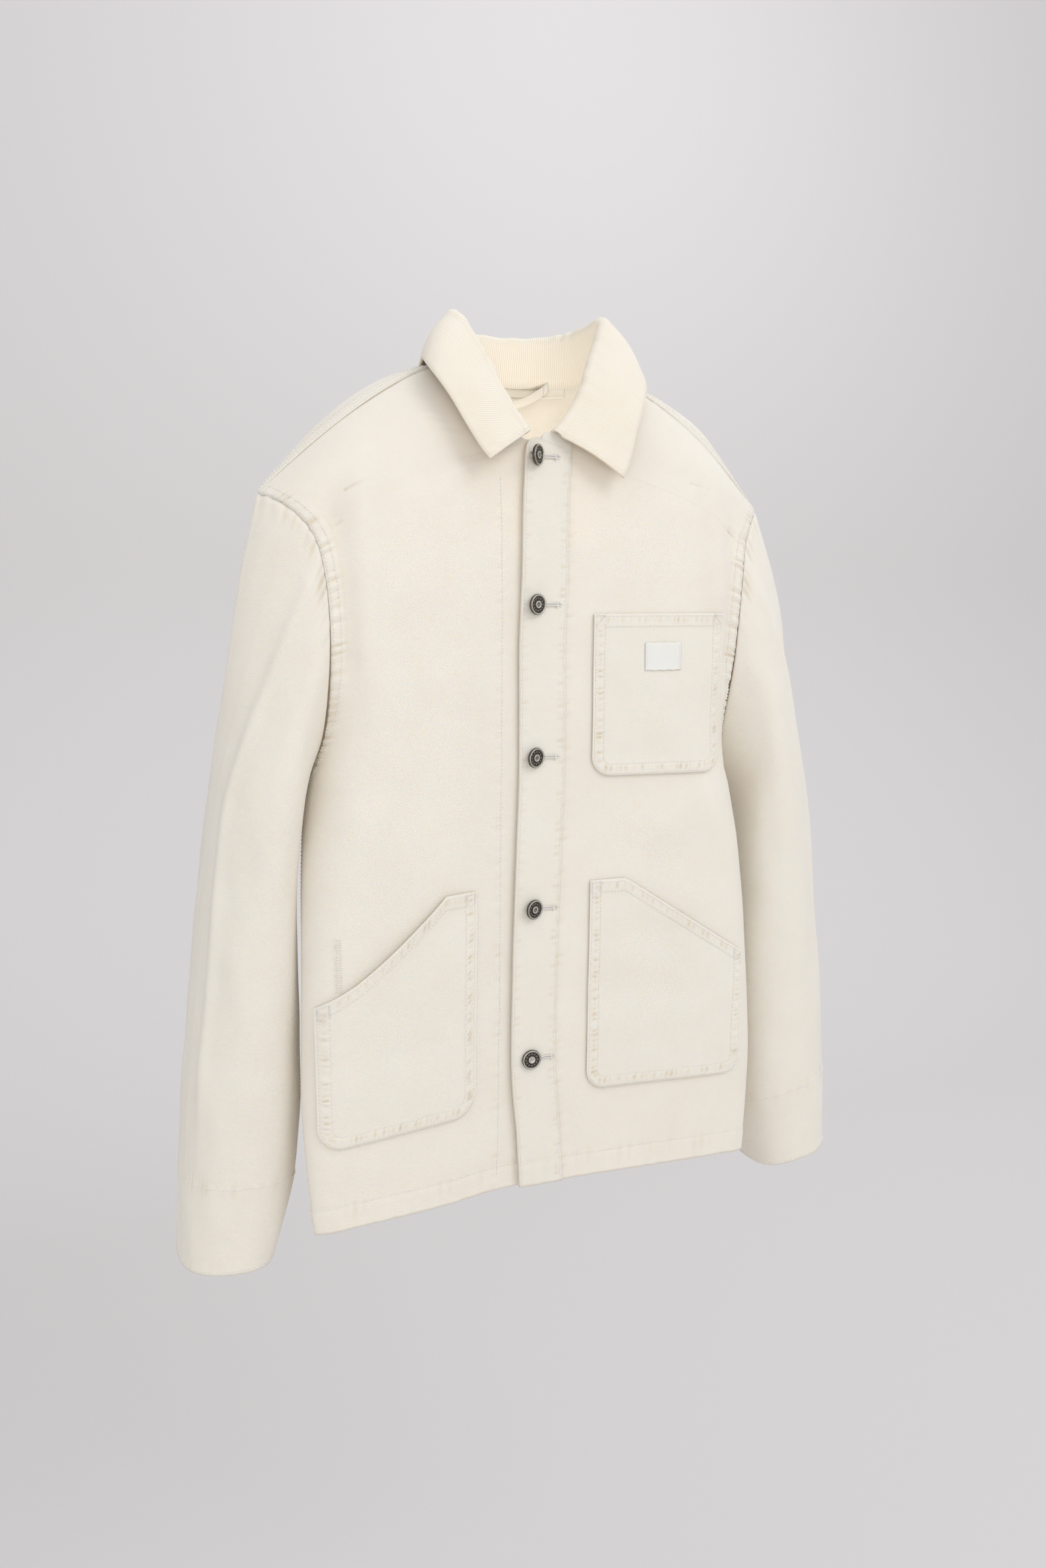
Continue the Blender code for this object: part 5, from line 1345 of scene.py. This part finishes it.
for name, cut in pockets.items():
    bend = cut["radius"] * (1 - np.cos(np.linspace(0, math.pi / 2, 12)))
    middle = np.linspace(cut["inner"] + cut["radius"], cut["outer"] - cut["radius"], 50)[1:-1]
    x = np.concatenate([cut["inner"] + bend, middle, (cut["outer"] - bend)[::-1]])[:, None]
    share = np.linspace(0, 1, 84)[None, :]
    z = foot_of(cut, x) + (mouth_of(cut, x) - foot_of(cut, x)) * share
    x = x + 0 * share
    face = partial(pocket_surface, cut)
    points, uv = outwards(cut["side"], face(x, z)[0], np.stack([x, z], -1))
    wide, high = cut["outer"] - cut["inner"], cut["mouth_high"] - cut["bottom_outer"]
    gone = (wide - cut["mouth_flat"]) * (cut["mouth_high"] - cut["mouth_low"]) / 2
    cut_piece(
        name + "_cloth", points, uv, name, twill, deep=0.0008, flat=(wide, high),
        held="stretched", area=wide * high - gone, rests_on=["front_" + cut["side"] + "_cloth"],
    )

    seams = [along_run(*face(*pocket_edge(cut, off))) for off in POCKET_STITCHES]
    across = np.linspace(cut["inner"] + 0.001, cut["outer"] - 0.001, 160)
    for off in MOUTH_STITCHES:
        seams.append(along_run(*face(across, mouth_of(cut, across) - off)))
    top_in, top_out = cut["inner"] + 0.0018, cut["outer"] - 0.0018
    high_in, high_out = (float(mouth_of(cut, np.array(v))) - 0.0014 for v in (top_in, top_out))
    if name == "chest_pocket":
        for a, b in ((top_in, top_in + 0.008), (top_out, top_out - 0.008)):
            for start in (high_in - 0.009, high_in):
                seams.append(tack(face, a, start, b, high_in, 0.001, 0.0008))
    else:
        for at, start, stop in (
            (top_in, high_in, high_in - 0.009),
            (top_in + 0.008, high_in, high_in - 0.009),
            (top_out - 0.001, high_out, high_out - 0.010),
            (top_out - 0.009, high_out + 0.004, high_out - 0.006),
        ):
            seams.append(tack(face, at, start, at, stop))
    if name == "pocket_right":
        # A short darn beside the mouth: a ladder of rungs between two upright rows.
        front, z = partial(on_front, "right"), -0.462 - 0.0021 * np.arange(22)
        rungs = 0.0017 + 0.0006 * ripples(z, 0.008, 4.1)
        starts, ends = (0.1903 - rungs, z), (0.1903 + rungs, z + 0.0003)
        seams.append(laid_close(front, starts, ends, 0.0005))
        for at in (0.1878, 0.1928):
            seams.append(laid_close(front, (at + 0 * z, z), (at + 0 * z, z - 0.0013), 0.0004))
    if name == "pocket_left":
        # A sewn triangle holds the inner end of the mouth.
        triangle = [(0.002, -0.002), (0.013, -0.002), (0.002, -0.017), (0.002, -0.002)]
        t = np.linspace(0, 1, 30)
        for (ax, az), (bx, bz) in zip(triangle[:-1], triangle[1:]):
            run = face(cut["inner"] + ax + (bx - ax) * t, cut["mouth_high"] + az + (bz - az) * t)
            seams.append(along_run(*run, pitch=0.0024))
    sew("thread_" + name, seams)


# ---- The label ----
# A bare label of smooth woven tape on the chest pocket, cut from the roll and sewn down along
# its two short edges, which fray a little.

label_x, label_z = (0.0880, 0.1225), (-0.2500, -0.2260)


def label_surface(x, z):
    """The chest pocket's face, raised by 1 mm, with a slight buckle across the middle."""
    points, normal = pocket_surface(pockets["chest_pocket"], x, z)
    share = (x - label_x[0]) / (label_x[1] - label_x[0])
    rise = 0.0010 + 0.0005 * np.sin(math.pi * share.clip(0, 1)) * (1 + 0.4 * swell(x, z, 5.0, 0.02))
    return points + normal * rise[..., None], normal


tape, tree, shader, place, tone = cloth_material(
    "label_tape", (0.85, 0.80, 0.715), (0.82, 0.765, 0.675), 0.6, 0.05
)
tree.links.new(tone, shader.inputs["Base Color"])
raise_nap(tree, shader, bands(tree, place, math.radians(90), 0.0004), 0.3, 0.00008)

x = np.linspace(*label_x, 41)[:, None]
z = np.linspace(*label_z, 29)[None, :] + 0.0003 * np.sin(x * 700)
cut_piece(
    "label_tape", label_surface(x + 0 * z, z)[0], np.stack(np.broadcast_arrays(x, z), -1),
    "label", tape, slot="label", wall=0.0006, flat=(0.0345, 0.0240), held="stretched",
    rests_on=["chest_pocket_cloth"],
)
seams, z = [], np.linspace(*label_z, 60)
for edge, way in zip(label_x, (1, -1)):
    seams.append(along_run(*label_surface(edge + way * 0.0016 + 0 * z, z), pitch=0.0022))
    frayed = edge - way * (0.0006 + 0.0005 * np.sin(z * 9000))
    inner, normal = label_surface(edge + way * 0.0004 + 0 * z, z)
    tips, _ = label_surface(frayed, z + 0.0003 * np.cos(z * 7000))
    seams.append((inner - normal * 0.0004, tips - normal * 0.0008, normal))
sew("thread_label", seams, thick=0.00022)


# ---- The buttons ----
# Five shank buttons of antiqued nickel, 17.6 mm across: a rim, a sunk ring with a row of plain
# dots, and a raised centre. Each hangs on its shank, so each is turned its own way.

BUTTON_RADIUS, BUTTON_HEIGHT, SHANK_RADIUS, BUTTON_STAND = 0.0088, 0.0028, 0.003, 0.0018
button_turns, button_tips = (38, 20, 19, 18, -3), (2, 2, 3, 2, 0)
button_profile = np.array(
    [
        (0.000, 0.80), (0.120, 0.81), (0.200, 0.86), (0.235, 0.94), (0.270, 0.97), (0.320, 0.97),
        (0.355, 0.93), (0.380, 0.80), (0.400, 0.67), (0.430, 0.64), (0.500, 0.64), (0.560, 0.65),
        (0.620, 0.65), (0.680, 0.65), (0.740, 0.65), (0.780, 0.67), (0.805, 0.78), (0.830, 0.92),
        (0.865, 0.985), (0.910, 0.99), (0.950, 0.93), (0.980, 0.80), (0.998, 0.60), (1.000, 0.40),
        (0.990, 0.18), (0.965, 0.03), (0.920, 0.00), (0.600, 0.00), (0.360, 0.00), (0.341, -0.04),
    ]
)
wear_at = [0, 0.21, 0.26, 0.33, 0.38, 0.78, 0.83, 0.90, 0.94, 0.99, 1.0]
wear_there = [0.25, 0.2, 0.8, 0.8, 0.0, 0.0, 0.5, 0.9, 0.4, 0.05, 0.05]

nickel, tree, metal = shaded("aged_nickel", {"Metallic": 0.92, "Roughness": 0.36})
worn = tree.nodes.new("ShaderNodeAttribute")
worn.attribute_name = "worn"
patina = noise(tree, tree.nodes.new("ShaderNodeTexCoord").outputs["Object"], 900.0, 5.0)
total = tree.nodes.new("ShaderNodeMath")
total.operation = "MULTIPLY_ADD"
total.inputs[1].default_value = 0.35
tree.links.new(patina.outputs["Fac"], total.inputs[0])
tree.links.new(worn.outputs["Fac"], total.inputs[2])
bright = ramp(tree, total.outputs[0], (0.055, 0.045, 0.035), (0.62, 0.58, 0.50), start=0.15)
tree.links.new(bright, metal.inputs["Base Color"])

angle = np.linspace(0, 2 * math.pi, 72, endpoint=False)[:, None]
steps, knots = np.linspace(0, len(button_profile) - 1, 88), np.arange(len(button_profile))
reach, level = (np.interp(steps, knots, column)[None, :] for column in button_profile.T)
dots = bell(reach, 0.60, 0.055) * np.cos(12 * angle).clip(0) ** 1.5 * (steps < 20)
r = (reach + 0 * angle) * BUTTON_RADIUS
for number, z in enumerate(button_heights):
    spot, normal = on_front("left", np.array([BUTTON_LINE]), np.array([z]))
    facing = normal[0]
    yaw = math.atan2(facing[0], -facing[1]) + math.radians(button_turns[number])
    tip = math.radians(button_tips[number])
    axis = unit(np.array([math.sin(yaw), -math.cos(yaw), -math.sin(tip)]))
    tilt = math.acos(min(1.0, float(axis @ facing)))
    height = max(BUTTON_STAND, BUTTON_RADIUS * math.sin(tilt) + 0.0006)
    middle = spot[0] + facing * (SEAM_GAP + TWILL_WALL + height)
    east = unit(np.cross([0, 0, 1.0], axis))
    north = np.cross(axis, east)
    h = (level + 0.10 * dots) * BUTTON_HEIGHT
    h[:, -1] = -(height - SHANK_RADIUS * math.sin(tilt) - SEAM_GAP) / math.cos(tilt)
    round_axis = np.cos(angle)[..., None] * east + np.sin(angle)[..., None] * north
    points = middle + r[..., None] * round_axis + h[..., None] * axis
    button = grid_mesh("button_%d_nickel" % (number + 1), points[::-1], closed=True)
    # The lowest button is worn bright at its centre.
    wear = [0.75, 0.75] + wear_there[2:] if number == 4 else wear_there
    wear = np.interp(r / BUTTON_RADIUS, wear_at, wear) + 0.55 * dots.clip(0)
    mark(button, "worn", wear[::-1])
    button.data.materials.append(nickel)
    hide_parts("button_%d" % (number + 1))
    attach(button, "root")


# ---- The hanger loop and the neck tape ----
# Inside the back neck a narrow strip of the twill covers the collar's seam, and a folded loop of
# the same strip hangs from it, tacked at both ends.

loop = dict(ends=(-0.045, 0.049), rise=0.004, sag=0.019, width=0.009, inset=0.0040)


def ahead_of(line):
    """Level directions square to a run of points, towards the front of the jacket."""
    forward = unit(np.cross(np.gradient(line, axis=0), np.array([0, 0, 1.0])))
    return forward * np.sign(-forward[:, 1:2])


def inside_neck(x):
    """Points of the back neck seam at given x."""
    order = slice(None, 3, -1)
    at = np.interp(np.abs(x), neck_cut["seam_x"][order], neck_cut["at"][order])
    seam, _ = neck_point(at, "seam")
    seam[..., 0] = x
    return seam


share = np.linspace(0, 1, 91)
hang = np.sin(math.pi * share) ** 0.8
line = inside_neck(loop["ends"][0] + (loop["ends"][1] - loop["ends"][0]) * share)
line[:, 2] += loop["rise"] - loop["sag"] * hang
forward = ahead_of(line)
high = line + forward * (loop["inset"] + TWILL_WALL + 0.002 * hang)[:, None]
deep = loop["width"] * (1 - 0.15 * hang)
wide = np.linspace(0, 1, 9)[None, :, None]
fold = 0.0006 * np.sin(math.pi * wide) ** 2
strip = high[:, None] - np.array([0, 0, 1.0]) * deep[:, None, None] * (1 - wide)
strip = strip - forward[:, None] * 0.001 * (1 - wide) + forward[:, None] * fold
cut_piece(
    "hanger_loop_strip", strip, laid_flat(strip), "hanger_loop", twill,
    flat=(0.112, 0.010), held="hung",
)


def loop_surface(at, down):
    """The loop's face at a share of its length and a share down its width, with normals."""
    i = (at * 90).astype(int).clip(0, 90)
    return strip[i, 0] * down[:, None] + strip[i, -1] * (1 - down[:, None]), forward[i]


def tape_surface(x, fall):
    """The neck tape: 10 mm down from the seam, 2.6 mm in front of it, its lower edge rippled."""
    line = inside_neck(x)
    forward = ahead_of(line)
    reach = 0.0026 + 0.0003 * ripples(x, 0.011, 0.9) * fall
    return line + forward * reach[:, None] - np.outer(0.0008 + 0.0100 * fall, [0, 0, 1]), forward


x = np.linspace(-0.062, 0.062, 125)
tape = np.stack([tape_surface(x, v + 0 * x)[0] for v in (0, 0.15, 0.3, 0.5, 0.7, 0.85, 1)], 1)
cut_piece(
    "neck_tape_strip", tape[:, ::-1], laid_flat(tape)[:, ::-1], None, twill, wall=0.0008,
    flat=(0.13, 0.010), held="stretched",
)

t = np.linspace(0.12, 0.88, 18)
seams = [along_run(*tape_surface(x, fall + 0 * x)) for fall in (0.14, 0.86)]
for at in (0.035, 0.965):
    starts, ends = (at - 0.009 + 0 * t, t), (at + 0.009 + 0 * t, t)
    seams.append(laid_close(loop_surface, starts, ends, 0.0003))
sew("thread_neck", seams)
